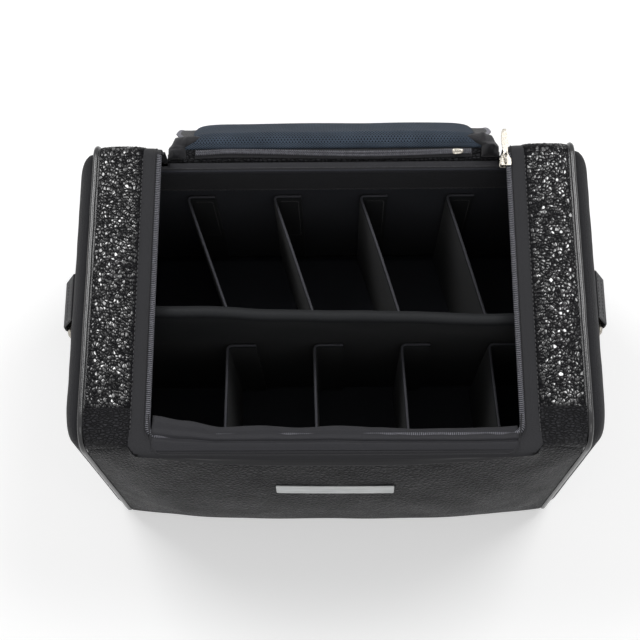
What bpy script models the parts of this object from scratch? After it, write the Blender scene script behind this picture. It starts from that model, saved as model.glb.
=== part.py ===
"""Soft-sided grooming bag: a padded box bag, its lid unzipped and folded back over the rear edge.

Metres, Z up, the front towards -Y. The origin is in the middle of the underside.
"""
import math

import bmesh
import bpy
from mathutils import Vector

# The box, measured over its seams
BODY_WIDTH = 0.376
BODY_DEPTH = 0.244
BODY_HEIGHT = 0.240
FRONT_LEAN = 0.016
FRONT_BULGE = 0.020
FRONT_LIP = 0.011
FRONT_FLATNESS = 2.4
FRONT_FULLNESS = 0.8
END_BULGE = 0.018
END_FLATNESS = 4
END_FULLNESS = 0.7
BACK_RADIUS = 0.012
FRONT_RADIUS = 0.024
BOTTOM_RADIUS = 0.014
CREASE_DROP = 0.032

# Clear space kept between two pieces that touch
GAP = 0.0003

# Wall layers, from the outside in
BASE_SKIN = 0.0032
BASE_BOARD = 0.003
BACK_PAD = 0.0066
WALL_BOARD = 0.0025
END_BOARD = 0.007
LINING = 0.002
END_RIM = 0.003
LINING_GAP_AT_CORNER = 0.0004

# Seams, trim and the mouth
PIPING_RADIUS = 0.0023
PIPING_INSET = 0.0015
STRIP_WIDTH = 0.034
STRIP_THICKNESS = 0.0035
GLITTER_END = 0.027
PATCH_TUCK = 0.004
TAPE_WIDTH = 0.015
TAPE_THICKNESS = 0.0012
TAPE_DROP = 0.0006
TAPE_CORNER = 0.028
TAPE_BACK_SETBACK = 0.0025
MOUTH_FRONT_INSET = 0.008
COIL_WIDTH = 0.003
COIL_THICKNESS = 0.0028
BINDING_WIDTH = 0.0047
BINDING_HEIGHT = 0.007
BINDING_TURN = 50.0

# The lid
LID_HINGE_DROP = 0.030
LID_HINGE_RISE = 0.002
LID_HINGE_SETBACK = 0.0025
LID_CORNER = 0.0063
LID_COVER = 0.0024
LID_PAD = 0.0065
LID_ROOT_HALF_WIDTH = 0.130
LID_ZIP_GAP = 0.0018
LID_BORDER = 0.017
LID_TAPE_START = 0.016
LID_REST_ANGLES = (20.0, -32.0, -66.0)
LID_SHUT_ANGLES = (90.0, 135.0, 180.0)
POCKET_ZIP_WIDTH = 0.010
POCKET_ZIP_THICKNESS = 0.0016
POCKET_COIL_WIDTH = 0.0032
POCKET_COIL_HEIGHT = 0.0008
POCKET_SLIDER = (0.009, 0.0064, 0.0014)
POCKET_SLIDER_SETBACK = 0.012

# Dividers
CENTRE_DIVIDER_Y = -0.017
CENTRE_DIVIDER = 0.010
CENTRE_DIVIDER_DROP = 0.016
CROSS_DIVIDER = 0.003
CROSS_DIVIDER_DROP = 0.080
CROSS_TAB = 0.024
BACK_ROW_FIRST = -0.125
BACK_ROW_PITCH = 0.0737
BACK_ROW_SLANT = 0.042
BACK_ROW_STRAIGHTENING = 0.0035
FRONT_ROW_FIRST = -0.088
FRONT_ROW_PITCH = 0.0715
FRONT_ROW_SPREAD = 0.0022
ROW_COUNT = 4

# Hardware
RING_WIRE = 0.002
RING_WIDTH = 0.043
RING_DEPTH = 0.028
RING_CORNER = 0.012
RING_HOLE = 0.0025
RING_LOOP_WALL = 0.0017
RING_BAR_DROP = 0.052
RING_TAB_WIDTH = 0.038
RING_TAB_TOP_DROP = 0.022
RING_TAB_THICKNESS = 0.002
SLIDER_LENGTH = 0.010
SLIDER_PLATE = 0.0012
SLIDER_POST = 0.001
SLIDER_HALF_WIDTH = 0.0045
SLIDER_SETBACK = 0.016
BAIL_RADIUS = 0.0029
BAIL_WALL = 0.0011
BAIL_WIDTH = 0.002
PULLER_BAR = 0.0009
PULLER_LENGTH = 0.027
PULLER_WIDTH = 0.0064
PULLER_WINDOW = 0.0056
PLATE_WIDTH = 0.096
PLATE_HEIGHT = 0.014
PLATE_THICKNESS = 0.0012
PLATE_DROP = 0.050

# Mesh detail
ARC_STEPS = 5
ROUND_STEPS = 16
BAIL_STEPS = 8
RING_CORNER_STEPS = 4
DOME_RINGS = 6
DOME_RING_CROWDING = 1.3
FRONT_CELLS = (36, 12)

# Where the layers lie, worked out from the sizes above
HALF = BODY_WIDTH / 2
BACK = BODY_DEPTH / 2
FRONT = -BODY_DEPTH / 2
TOP = BODY_HEIGHT
FOOT = PIPING_RADIUS - PIPING_INSET + GAP
DOME_INSET = PIPING_INSET + PIPING_RADIUS + GAP
SIDE = HALF - PIPING_RADIUS - GAP
TAPE_OUTER = SIDE - STRIP_WIDTH - GAP
COIL_INNER = TAPE_OUTER - TAPE_WIDTH
TAPE_TOP = TOP - TAPE_DROP
TAPE_BACK = BACK - TAPE_BACK_SETBACK
MOUTH_FRONT = FRONT + MOUTH_FRONT_INSET
TAPE_FRONT = MOUTH_FRONT - TAPE_WIDTH
GLITTER_FRONT = FRONT + GLITTER_END
CREASE = TOP - CREASE_DROP
PATCH_BEND = TOP - FRONT_RADIUS
HINGE_Y = BACK - LID_HINGE_SETBACK
HINGE_Z = TOP - LID_HINGE_DROP
WALL_TOP = HINGE_Z - LID_HINGE_RISE
BOARD_Z = BASE_SKIN + GAP
INNER_Z = BOARD_Z + BASE_BOARD + GAP
FLOOR = INNER_Z + LINING
END_BOARD_X = SIDE - END_BOARD
LINING_X = END_BOARD_X - GAP - LINING
FRONT_WALL = MOUTH_FRONT + 3 * GAP
FRONT_LINING = FRONT_WALL - LINING
FRONT_BOARD = FRONT_LINING - GAP - WALL_BOARD
FRONT_PAD = FRONT_BOARD - GAP
BACK_PAD_Y = BACK - BACK_PAD
BACK_BOARD = BACK_PAD_Y - GAP - WALL_BOARD
BACK_WALL = BACK_BOARD - GAP - LINING
COIL_UNDER = TAPE_TOP - COIL_THICKNESS + TAPE_DROP
FRONT_TOP = COIL_UNDER - GAP
CENTRE_TOP = TOP - CENTRE_DIVIDER_DROP
CROSS_TOP = TOP - CROSS_DIVIDER_DROP


def material(name, colour, roughness, metallic=0.0):
    """A Principled BSDF material of one colour."""
    made = bpy.data.materials.new(name)
    made.use_nodes = True
    shader = made.node_tree.nodes["Principled BSDF"]
    shader.inputs["Base Color"].default_value = (*colour, 1.0)
    shader.inputs["Roughness"].default_value = roughness
    shader.inputs["Metallic"].default_value = metallic
    made.diffuse_color = (*colour, 1.0)
    return made


def add_object(name, bm, look, parent=None, smooth=False):
    """Turns a bmesh into a named object with its own material."""
    bmesh.ops.recalc_face_normals(bm, faces=bm.faces[:])
    if bm.calc_volume(signed=True) < 0:
        bmesh.ops.reverse_faces(bm, faces=bm.faces[:])
    mesh = bpy.data.meshes.new(name)
    bm.to_mesh(mesh)
    bm.free()
    made = bpy.data.objects.new(name, mesh)
    bpy.context.scene.collection.objects.link(made)
    mesh.materials.append(material(name, *look))
    mesh.shade_flat()
    if smooth:
        mesh.shade_smooth()
    made.parent = parent
    return made


def add_box(name, low, high, look, bevel=0.0, parent=None):
    """A box between two corners, its edges rounded by bevel."""
    bm = bmesh.new()
    bmesh.ops.create_cube(bm, size=1.0)
    low, high = Vector(low), Vector(high)
    for vert in bm.verts:
        vert.co = low + (high - low) * (vert.co + Vector((0.5, 0.5, 0.5)))
    if bevel:
        bmesh.ops.bevel(bm, geom=bm.edges[:], offset=bevel, segments=2, affect="EDGES", profile=0.5)
    return add_object(name, bm, look, parent)


def add_slab(name, cells, outer, inner, look, parent=None):
    """A sheet with thickness: its two faces are functions of u and v, each from 0 to 1."""
    bm = bmesh.new()
    bmesh.ops.create_grid(bm, x_segments=cells[0], y_segments=cells[1], size=0.5)
    base = bm.verts[:]
    raised = bmesh.ops.extrude_face_region(bm, geom=bm.faces[:])["geom"]
    for vert in (item for item in raised if isinstance(item, bmesh.types.BMVert)):
        vert.co = outer(vert.co.x + 0.5, vert.co.y + 0.5)
    for vert in base:
        vert.co = inner(vert.co.x + 0.5, vert.co.y + 0.5)
    return add_object(name, bm, look, parent, smooth=True)


def prism_mesh(points, place, low, high):
    """A flat outline pushed along one axis: place turns its two numbers and the distance into a point."""
    bm = bmesh.new()
    face = bm.faces.new([bm.verts.new(place(a, b, low)) for a, b in points])
    raised = bmesh.ops.extrude_face_region(bm, geom=[face])["geom"]
    moved = [item for item in raised if isinstance(item, bmesh.types.BMVert)]
    bmesh.ops.translate(bm, verts=moved, vec=place(0, 0, high) - place(0, 0, low))
    return bm


def loft_mesh(rings):
    """A closed skin through a row of rings with the same number of points, with a face at each end."""
    bm = bmesh.new()
    rows = [[bm.verts.new(point) for point in ring] for ring in rings]
    for near, far in zip(rows, rows[1:]):
        for n in range(len(near)):
            bm.faces.new((near[n - 1], near[n], far[n], far[n - 1]))
    bm.faces.new(rows[0][::-1])
    bm.faces.new(rows[-1])
    return bm


def along_x(a, b, x):
    return Vector((x, a, b))


def along_y(a, b, y):
    return Vector((a, y, b))


def along_z(a, b, z):
    return Vector((a, b, z))


def add_tube(name, points, radius, look, closed=False, resolution=1, parent=None):
    """A round rod or ring along a list of points."""
    curve = bpy.data.curves.new(name, "CURVE")
    curve.dimensions = "3D"
    curve.bevel_depth = radius
    curve.bevel_resolution = resolution
    curve.use_fill_caps = True
    line = curve.splines.new("POLY")
    line.points.add(len(points) - 1)
    for spot, point in zip(line.points, points):
        spot.co = (*point, 1.0)
    line.use_cyclic_u = closed
    curve.materials.append(material(name, *look))
    made = bpy.data.objects.new(name, curve)
    bpy.context.scene.collection.objects.link(made)
    made.parent = parent
    return made


def arc(centre, radius, start, end, steps=ARC_STEPS):
    """Points of an arc between two angles in degrees."""
    turn = [math.radians(start + (end - start) * n / steps) for n in range(steps + 1)]
    return [(centre[0] + radius * math.cos(t), centre[1] + radius * math.sin(t)) for t in turn]


def end_outline(inset):
    """The end's outline in Y and Z, moved in by inset, anticlockwise from the bottom of the back."""
    corners = [(BACK, FOOT), (BACK, TOP), (FRONT, TOP), (FRONT - FRONT_LEAN, FOOT)]
    radii = [BOTTOM_RADIUS, BACK_RADIUS, FRONT_RADIUS, BOTTOM_RADIUS]
    points = []
    for n, (corner, radius) in enumerate(zip(corners, radii)):
        here = Vector(corner)
        before = (here - Vector(corners[n - 1])).normalized()
        after = (Vector(corners[(n + 1) % len(corners)]) - here).normalized()
        normals = [Vector((way.y, -way.x)) for way in (before, after)]
        centre = here - radius * (normals[0] + normals[1]) / (1 + normals[0].dot(normals[1]))
        start = math.degrees(math.atan2(normals[0].y, normals[0].x))
        turn = math.degrees(math.acos(max(-1.0, min(1.0, normals[0].dot(normals[1])))))
        points += arc(centre, radius - inset, start, start + turn)
    return points


def lean_edge(z):
    """How far forward the front stands at its two end seams, at one height."""
    return FRONT - FRONT_LEAN * (1 - z / TOP)


def front_surface(x, z):
    """The front panel's plump outer face: Y at one place."""
    spread = 1 - abs(x / SIDE) ** FRONT_FLATNESS
    middle = FRONT - FRONT_LIP - (FRONT_LEAN - FRONT_LIP) * (1 - z / TOP)
    middle -= FRONT_BULGE * math.sin(math.pi * min(1.0, z / FRONT_TOP)) ** FRONT_FULLNESS
    return lean_edge(z) + (middle - lean_edge(z)) * spread


def dome_rise(share):
    """How much of the end's bulge stands at a share of the way from its middle to its seam."""
    return (1 - min(1.0, share) ** END_FLATNESS) ** END_FULLNESS


def end_middle():
    """The point that the end's bulge is centred on, in Y and Z."""
    return Vector(((BACK + FRONT - FRONT_LEAN / 2) / 2, (TOP + FOOT) / 2))


def end_surface(z):
    """X of the end panel's face on its middle line, at one height."""
    middle = end_middle().y
    share = abs(z - middle) / (TOP - DOME_INSET - middle)
    return SIDE + GAP + END_RIM + END_BULGE * dome_rise(share)


BLACK_LEATHER = ((0.012, 0.012, 0.014), 0.45)
PATENT = ((0.006, 0.006, 0.007), 0.18)
BLACK_FABRIC = ((0.010, 0.010, 0.011), 0.85)
LINING_CLOTH = ((0.009, 0.010, 0.014), 0.75)
SPACER_MESH = ((0.020, 0.026, 0.034), 0.80)
TAPE_CLOTH = ((0.022, 0.022, 0.024), 0.70)
COIL_NYLON = ((0.030, 0.030, 0.032), 0.35)
PIPING_VINYL = ((0.004, 0.004, 0.005), 0.22)
STIFF_BOARD = ((0.05, 0.05, 0.055), 0.60)
NICKEL = ((0.62, 0.60, 0.57), 0.22, 1.0)


def build_base():
    """The underside, its stiff board and the floor lining."""
    add_box("base_panel", (-SIDE, FRONT - FRONT_LEAN + 2 * GAP, 0), (SIDE, BACK - 2 * GAP, BASE_SKIN),
            BLACK_LEATHER, bevel=0.001)
    add_box("base_board", (-SIDE, FRONT_BOARD, BOARD_Z),
            (SIDE, BACK_BOARD + WALL_BOARD, BOARD_Z + BASE_BOARD), STIFF_BOARD)
    add_box("floor_lining", (-LINING_X + GAP, FRONT_WALL + GAP, INNER_Z),
            (LINING_X - GAP, BACK_WALL - GAP, FLOOR), LINING_CLOTH)


def front_top(x):
    """The top edge of the front panel: high under the tape, lower at the two corner patches."""
    near = TAPE_OUTER - TAPE_CORNER
    far = TAPE_OUTER - PATCH_TUCK - GAP - 2 * SIDE / FRONT_CELLS[0]
    share = min(1.0, max(0.0, (far - abs(x)) / (far - near)))
    high = TAPE_TOP - BINDING_HEIGHT - GAP
    low = CREASE - GAP
    return low + (high - low) * share * share * (3 - 2 * share)


def build_front():
    """The plump front panel, the board behind it, its lining and the bare label plate."""
    def outer(u, v):
        x = SIDE * (2 * u - 1)
        z = BOARD_Z + (front_top(x) - BOARD_Z) * v
        return Vector((x, front_surface(x, z), z))

    def inner(u, v):
        x = SIDE * (2 * u - 1)
        return Vector((x, FRONT_PAD, BOARD_Z + (front_top(x) - BOARD_Z) * v))

    add_slab("front_panel", FRONT_CELLS, outer, inner, BLACK_LEATHER)

    shoulder = TAPE_OUTER - PATCH_TUCK
    for name, y, thickness, edge, look in (
        ("front_board", FRONT_BOARD, WALL_BOARD, END_BOARD_X - GAP, STIFF_BOARD),
        ("front_lining", FRONT_LINING, LINING, LINING_X - GAP, LINING_CLOTH),
    ):
        half = [(edge, INNER_Z), (edge, PATCH_BEND), (shoulder, PATCH_BEND), (shoulder, FRONT_TOP)]
        outline = half + [(-x, z) for x, z in half[::-1]]
        add_object(name, prism_mesh(outline, along_y, y, y + thickness), look)

    middle = TOP - PLATE_DROP

    def plate(u, v, out):
        x = PLATE_WIDTH * (u - 0.5)
        z = middle + PLATE_HEIGHT * (v - 0.5)
        return Vector((x, front_surface(x, z) - GAP - out, z))

    add_slab("label_plate", (8, 2), lambda u, v: plate(u, v, PLATE_THICKNESS), lambda u, v: plate(u, v, 0.0),
             NICKEL)


def build_back():
    """The back panel, its board and its lining."""
    add_box("back_panel", (-SIDE, BACK_PAD_Y, BOARD_Z), (SIDE, BACK, WALL_TOP), BLACK_LEATHER, bevel=0.0012)
    add_box("back_board", (-END_BOARD_X + GAP, BACK_BOARD, INNER_Z),
            (END_BOARD_X - GAP, BACK_BOARD + WALL_BOARD, WALL_TOP), STIFF_BOARD)
    add_box("back_lining", (-LINING_X + GAP, BACK_WALL, INNER_Z),
            (LINING_X - GAP, BACK_WALL + LINING, WALL_TOP), LINING_CLOTH)


def end_layer(front_y, back_y):
    """Outline in Y and Z of a flat end layer: its top corners clear the strip and the round corner patch."""
    radius = FRONT_RADIUS - STRIP_THICKNESS - GAP - LINING_GAP_AT_CORNER
    centre = (FRONT + FRONT_RADIUS, PATCH_BEND)
    top = PATCH_BEND + radius
    chamfer = BACK_RADIUS / 2
    points = [(front_y, INNER_Z), (back_y, INNER_Z), (back_y, top - chamfer), (back_y - chamfer, top)]
    rise = math.sqrt(radius ** 2 - min(radius, centre[0] - front_y) ** 2)
    end_angle = 180 - math.degrees(math.atan2(rise, centre[0] - front_y))
    return points + arc(centre, radius, 90, end_angle)


def build_end(name, side):
    """One end: padded outer panel, board, lining, and the piping round its seam."""
    outline = end_outline(DOME_INSET)
    centre = end_middle()
    steps = [n / (DOME_RINGS + 1) for n in range(DOME_RINGS + 1)]
    shares = [1.0] + [1.0 - step ** DOME_RING_CROWDING for step in steps]
    rises = [0.0] + [END_RIM + END_BULGE * dome_rise(share) for share in shares[1:]]
    rings = []
    for share, rise in zip(shares, rises):
        spots = [centre + (Vector(point) - centre) * share for point in outline]
        rings.append([Vector((side * (SIDE + GAP + rise), spot.x, spot.y)) for spot in spots])
    add_object(f"end_panel_{name}", loft_mesh(rings), BLACK_FABRIC, smooth=True)

    board = end_layer(FRONT_BOARD + LINING_GAP_AT_CORNER, BACK_BOARD + WALL_BOARD)
    low, high = sorted((side * END_BOARD_X, side * SIDE))
    add_object(f"end_board_{name}", prism_mesh(board, along_x, low, high), STIFF_BOARD)
    lining = end_layer(FRONT_LINING, BACK_WALL + LINING)
    low, high = sorted((side * LINING_X, side * (LINING_X + LINING)))
    add_object(f"end_lining_{name}", prism_mesh(lining, along_x, low, high), LINING_CLOTH)

    ring = [(side * HALF, y, z) for y, z in end_outline(PIPING_INSET)]
    add_tube(f"piping_{name}", ring, PIPING_RADIUS, PIPING_VINYL, closed=True)


def strip_path(depth):
    """Y and Z along a side strip, from its front seam over the back edge, at a depth below its face."""
    centre = (BACK - BACK_RADIUS, TOP - BACK_RADIUS)
    points = [(GLITTER_FRONT, TOP - depth), (0.0, TOP - depth)]
    points += arc(centre, BACK_RADIUS - depth, 90, 0)
    points.append((BACK - depth, WALL_TOP + GAP))
    return points


def patch_path(depth):
    """Y and Z along a corner patch, from the strip's front seam down to the crease, at a depth."""
    centre = (FRONT + FRONT_RADIUS, PATCH_BEND)
    points = [(GLITTER_FRONT - GAP, TOP - depth)]
    points += arc(centre, FRONT_RADIUS - depth, 90, 180, 2 * ARC_STEPS)
    points.append((FRONT + depth, CREASE))
    return points


def along(points, share):
    """The point of a list at a share of its count."""
    return points[round(share * (len(points) - 1))]


def build_strips(name, side):
    """The glitter strip beside the mouth and the leather patch that finishes it over the front corner."""
    def strip(u, v, depth):
        y, z = along(strip_path(depth), v)
        x = TAPE_OUTER + GAP + STRIP_WIDTH * u
        return Vector((side * x, y, z))

    count = len(strip_path(0.0)) - 1
    add_slab(f"glitter_strip_{name}", (1, count), lambda u, v: strip(u, v, 0.0),
             lambda u, v: strip(u, v, STRIP_THICKNESS), PATENT)

    def patch(u, v, depth):
        y, z = along(patch_path(depth), v)
        tuck = PATCH_TUCK * min(1.0, (TOP - z) / FRONT_RADIUS)
        low = TAPE_OUTER + GAP - (tuck if TOP - z > 2 * STRIP_THICKNESS else 0.0)
        return Vector((side * (low + (SIDE - low) * u), y, z))

    count = len(patch_path(0.0)) - 1
    add_slab(f"corner_patch_{name}", (1, count), lambda u, v: patch(u, v, 0.0),
             lambda u, v: patch(u, v, STRIP_THICKNESS - GAP), BLACK_LEATHER)


def mouth_path():
    """Outer edge of the zip tape, from the left back round the front: (point, way in, way down)."""
    down, ahead = Vector((0, 0, -1)), Vector((0, -1, 0))
    bend = BACK_RADIUS - TAPE_BACK_SETBACK
    half = [(Vector((TAPE_OUTER, TAPE_BACK, WALL_TOP + GAP)), Vector((-1, 0, 0)), ahead)]
    for n in range(ARC_STEPS + 1):
        t = math.radians(90 * n / ARC_STEPS)
        out = Vector((0, math.cos(t), math.sin(t)))
        centre = Vector((TAPE_OUTER, TAPE_BACK - bend, TAPE_TOP - bend))
        half.append((centre + bend * out, Vector((-1, 0, 0)), -out))
    half.append((Vector((TAPE_OUTER, 0, TAPE_TOP)), Vector((-1, 0, 0)), down))
    for n in range(ARC_STEPS + 2):
        t = math.radians(90 * n / (ARC_STEPS + 1))
        out = Vector((math.cos(t), -math.sin(t), 0))
        centre = Vector((TAPE_OUTER - TAPE_CORNER, TAPE_FRONT + TAPE_CORNER, TAPE_TOP))
        half.append((centre + TAPE_CORNER * out, -out, down))
    mirrored = [(Vector((-p.x, p.y, p.z)), Vector((-w.x, w.y, w.z)), d) for p, w, d in half]
    return mirrored + half[::-1]


def add_ribbon(name, path, inset, depth, look, parent=None):
    """A strip along a path of (point, way in, way down), between two insets and two depths."""
    def face(u, v, low):
        point, inward, down = path[round(v * (len(path) - 1))]
        return point + inward * (inset[0] + (inset[1] - inset[0]) * u) + down * low

    return add_slab(name, (1, len(path) - 1), lambda u, v: face(u, v, depth[0]),
                    lambda u, v: face(u, v, depth[1]), look, parent)


def build_mouth():
    """The body's half of the main zip, sewn round the mouth, and the binding below its front stretch."""
    path = mouth_path()
    add_ribbon("zip_tape", path, (0.0, TAPE_WIDTH - COIL_WIDTH - GAP), (0.0, TAPE_THICKNESS), TAPE_CLOTH)
    coil_low = TAPE_TOP - COIL_UNDER
    add_ribbon("zip_coil", path, (TAPE_WIDTH - COIL_WIDTH, TAPE_WIDTH), (-GAP, coil_low), COIL_NYLON)
    front = [step for step in path if step[1].y > math.sin(math.radians(BINDING_TURN))]
    add_ribbon("front_binding", front, (-GAP, -GAP - BINDING_WIDTH), (0.0, BINDING_HEIGHT), BLACK_LEATHER)


class Fold:
    """One stiff stretch of the lid: its hinge folded back, its angles folded back and shut, its length."""

    def __init__(self, hinge, rest, shut, length):
        self.hinge = hinge
        self.rest = math.radians(rest)
        self.shut = math.radians(shut)
        self.length = length

    def tip(self):
        y, z = self.hinge
        return (y + self.length * math.cos(self.rest), z + self.length * math.sin(self.rest))


def lid_folds():
    """The lid's root, corner and main panel, chained from the top of the back wall."""
    plane = TAPE_TOP - LID_COVER / 2
    corner = LID_CORNER
    root_length = plane - HINGE_Z - corner
    corner_length = corner * math.sqrt(2)
    panel_length = HINGE_Y - corner - MOUTH_FRONT - LID_ZIP_GAP
    lengths = (root_length, corner_length, panel_length)
    hinge = (HINGE_Y, HINGE_Z)
    folds = []
    for rest, shut, length in zip(LID_REST_ANGLES, LID_SHUT_ANGLES, lengths):
        fold = Fold(hinge, rest, shut, length)
        folds.append(fold)
        hinge = fold.tip()
    return folds


def fold_empty(name, fold):
    """An empty on a fold's hinge line: its Y runs along the stretch, its Z is the lining side."""
    empty = bpy.data.objects.new(name, None)
    bpy.context.scene.collection.objects.link(empty)
    empty.location = (0, *fold.hinge)
    empty.rotation_euler = (fold.rest, 0, 0)
    return empty


def lid_block(name, half_width, span, height, slopes, look, parent):
    """A layer of a stretch: its ends at span, leaning in by slopes per metre of height."""
    def corner(u, v, z):
        y = span[0] + (span[1] - span[0]) * v
        away = abs(z)
        y += slopes[0] * away * (1 - v) - slopes[1] * away * v
        return Vector((half_width * (2 * u - 1), y, z))

    return add_slab(name, (1, 1), lambda u, v: corner(u, v, height[1]), lambda u, v: corner(u, v, height[0]),
                    look, parent)


def cover_block(name, half_width, span, rest_slopes, shut_slopes, parent):
    """A stretch of the lid's outer cover: each end is a blunt wedge that clears its neighbour both ways."""
    half = LID_COVER / 2
    points = []
    ends = ((span[0], 1, rest_slopes[0], shut_slopes[0]), (span[1], -1, rest_slopes[1], shut_slopes[1]))
    for y, way, rest, shut in ends:
        edge = [(y + way * rest * half, -half), (y, 0.0), (y + way * shut * half, half)]
        points += edge if way > 0 else edge[::-1]
    outline = points[:3][::-1] + points[3:][::-1]
    return add_object(name, prism_mesh(outline, along_x, -half_width, half_width), BLACK_LEATHER, parent)


def build_lid():
    """The lid in three stiff stretches, so that it can fold: cover, padded lining, zip half, pocket."""
    folds = lid_folds()
    root, corner, panel = (fold_empty(f"lid_hinge_{n}", fold) for n, fold in enumerate(folds))
    bends = [math.tan((folds[n].rest - folds[n + 1].rest) / 2) for n in (0, 1)]
    shuts = [math.tan((folds[n + 1].shut - folds[n].shut) / 2) for n in (0, 1)]
    clear = 0.75 * GAP

    cover_block("lid_root_cover", LID_ROOT_HALF_WIDTH, (GAP, folds[0].length - clear), (0, bends[0]),
                (0, shuts[0]), root)
    corner_span = (clear, folds[1].length - clear)
    cover_block("lid_corner_cover", LID_ROOT_HALF_WIDTH, corner_span, bends, shuts, corner)

    low = LID_COVER / 2 + GAP
    high = low + LID_PAD
    pad_half = LID_ROOT_HALF_WIDTH - LID_BORDER
    pocket_end = 2 * GAP + POCKET_ZIP_WIDTH
    lid_block("lid_root_lining", pad_half, (pocket_end + GAP, folds[0].length - clear), (low, high),
              (0.0, shuts[0]), SPACER_MESH, root)
    lid_block("lid_corner_lining", pad_half, corner_span, (low, high), shuts, SPACER_MESH, corner)

    build_main_panel(panel, folds[2].length, clear, (bends[1], shuts[1]), (low, high))

    add_box("pocket_zip", (-pad_half, 2 * GAP, low), (pad_half, pocket_end, low + POCKET_ZIP_THICKNESS),
            TAPE_CLOTH, parent=root)
    middle = 2 * GAP + POCKET_ZIP_WIDTH / 2
    coil_low = low + POCKET_ZIP_THICKNESS + GAP
    coil_top = coil_low + POCKET_COIL_HEIGHT
    add_box("pocket_zip_coil", (-pad_half, middle - POCKET_COIL_WIDTH / 2, coil_low),
            (pad_half, middle + POCKET_COIL_WIDTH / 2, coil_top), COIL_NYLON, parent=root)
    build_pocket_slider(root, pad_half, middle, coil_top + GAP)


def build_pocket_slider(parent, pad_half, middle, low):
    """The lid pocket's slider with its raised bridge, run to the right-hand end of its zip."""
    length, width, thickness = POCKET_SLIDER
    x = pad_half - POCKET_SLIDER_SETBACK
    half, ridge = length / 2, length / 5
    top, peak = low + thickness, low + 2 * thickness
    outline = [(x - half, low), (x + half, low), (x + half, top), (x + ridge, top),
               (x + ridge, peak), (x - ridge, peak), (x - ridge, top), (x - half, top)]
    add_object("pocket_slider", prism_mesh(outline, along_y, middle - width / 2, middle + width / 2), NICKEL,
               parent)


def build_main_panel(panel, length, clear, slopes, pad):
    """The main panel's cover, padded lining, and the lid's half of the main zip on three sides."""
    edge = COIL_INNER - LID_ZIP_GAP
    half_width = edge - TAPE_WIDTH - GAP
    span = (clear, length - TAPE_WIDTH - GAP)
    bend, shut = slopes
    cover_block("lid_cover", half_width, span, (bend, 0), (shut, 0), panel)
    lid_block("lid_lining", half_width, span, pad, (shut, 0.0), SPACER_MESH, panel)
    half = [(Vector((edge, LID_TAPE_START, 0)), Vector((-1, 0, 0)))]
    half.append((Vector((edge, length / 2, 0)), Vector((-1, 0, 0))))
    inner_corner = TAPE_CORNER - TAPE_WIDTH - LID_ZIP_GAP
    radius = max(inner_corner, COIL_WIDTH)
    for n in range(ARC_STEPS + 1):
        t = math.radians(90 * n / ARC_STEPS)
        out = Vector((math.cos(t), math.sin(t), 0))
        centre = Vector((edge - radius, length - radius, 0))
        half.append((centre + radius * out, -out))
    path = [(p, w, Vector((0, 0, 1))) for p, w in half]
    mirrored = [(Vector((-p.x, p.y, p.z)), Vector((-w.x, w.y, w.z)), d) for p, w, d in path]
    route = mirrored + path[::-1]
    half_cover = LID_COVER / 2
    tape_depth = (-half_cover, TAPE_THICKNESS - half_cover)
    coil_depth = (-half_cover - GAP, TAPE_TOP - COIL_UNDER - half_cover)
    add_ribbon("lid_zip_tape", route, (COIL_WIDTH + GAP, TAPE_WIDTH), tape_depth, TAPE_CLOTH, panel)
    add_ribbon("lid_zip_coil", route, (0.0, COIL_WIDTH), coil_depth, COIL_NYLON, panel)


def offset_line(points, half):
    """A closed outline half a thickness either side of an open line, with mitred corners."""
    ways = [(Vector(b) - Vector(a)).normalized() for a, b in zip(points, points[1:])]
    sides = [Vector((-way.y, way.x)) for way in ways]
    shifts = [sides[0]]
    for a, b in zip(sides, sides[1:]):
        shifts.append((a + b) / (1 + a.dot(b)))
    shifts.append(sides[-1])
    left = [Vector(p) + s * half for p, s in zip(points, shifts)]
    right = [Vector(p) - s * half for p, s in zip(points, shifts)]
    return [(p.x, p.y) for p in left + right[::-1]]


def build_dividers():
    """The fixed middle divider and the eight cross dividers, held by tabs and lifted out by hand."""
    half = CENTRE_DIVIDER / 2
    low = FLOOR + GAP
    outline = [(CENTRE_DIVIDER_Y + half, low), (CENTRE_DIVIDER_Y + half, CENTRE_TOP - half)]
    outline += arc((CENTRE_DIVIDER_Y, CENTRE_TOP - half), half, 0, 180)[1:-1]
    outline += [(CENTRE_DIVIDER_Y - half, CENTRE_TOP - half), (CENTRE_DIVIDER_Y - half, low)]
    edge = LINING_X - GAP
    add_object("centre_divider", prism_mesh(outline, along_x, -edge, edge), LINING_CLOTH)

    skin = CROSS_DIVIDER / 2
    for n in range(ROW_COUNT):
        near = CENTRE_DIVIDER_Y + half + GAP + skin
        far = BACK_WALL - GAP - skin
        x = BACK_ROW_FIRST + BACK_ROW_PITCH * n
        slant = x + BACK_ROW_SLANT - BACK_ROW_STRAIGHTENING * n
        plan = [(slant - CROSS_TAB, near), (slant, near), (x, far), (x + CROSS_TAB, far)]
        add_object(f"divider_back_{n + 1}", prism_mesh(offset_line(plan, skin), along_z, low, CROSS_TOP),
                   LINING_CLOTH)

        near = CENTRE_DIVIDER_Y - half - GAP - skin
        far = FRONT_WALL + GAP + skin
        x = FRONT_ROW_FIRST + FRONT_ROW_PITCH * n
        end = x + FRONT_ROW_SPREAD * n
        plan = [(x + CROSS_TAB, near), (x, near), (end, far), (end - CROSS_TAB, far)]
        add_object(f"divider_front_{n + 1}", prism_mesh(offset_line(plan, skin), along_z, low, CROSS_TOP),
                   LINING_CLOTH)


def ring_bar():
    """X and Z of a D-ring's bar."""
    x = SIDE + GAP + END_RIM + END_BULGE + GAP + RING_HOLE + RING_LOOP_WALL + GAP
    return x, TOP - RING_BAR_DROP


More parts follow.
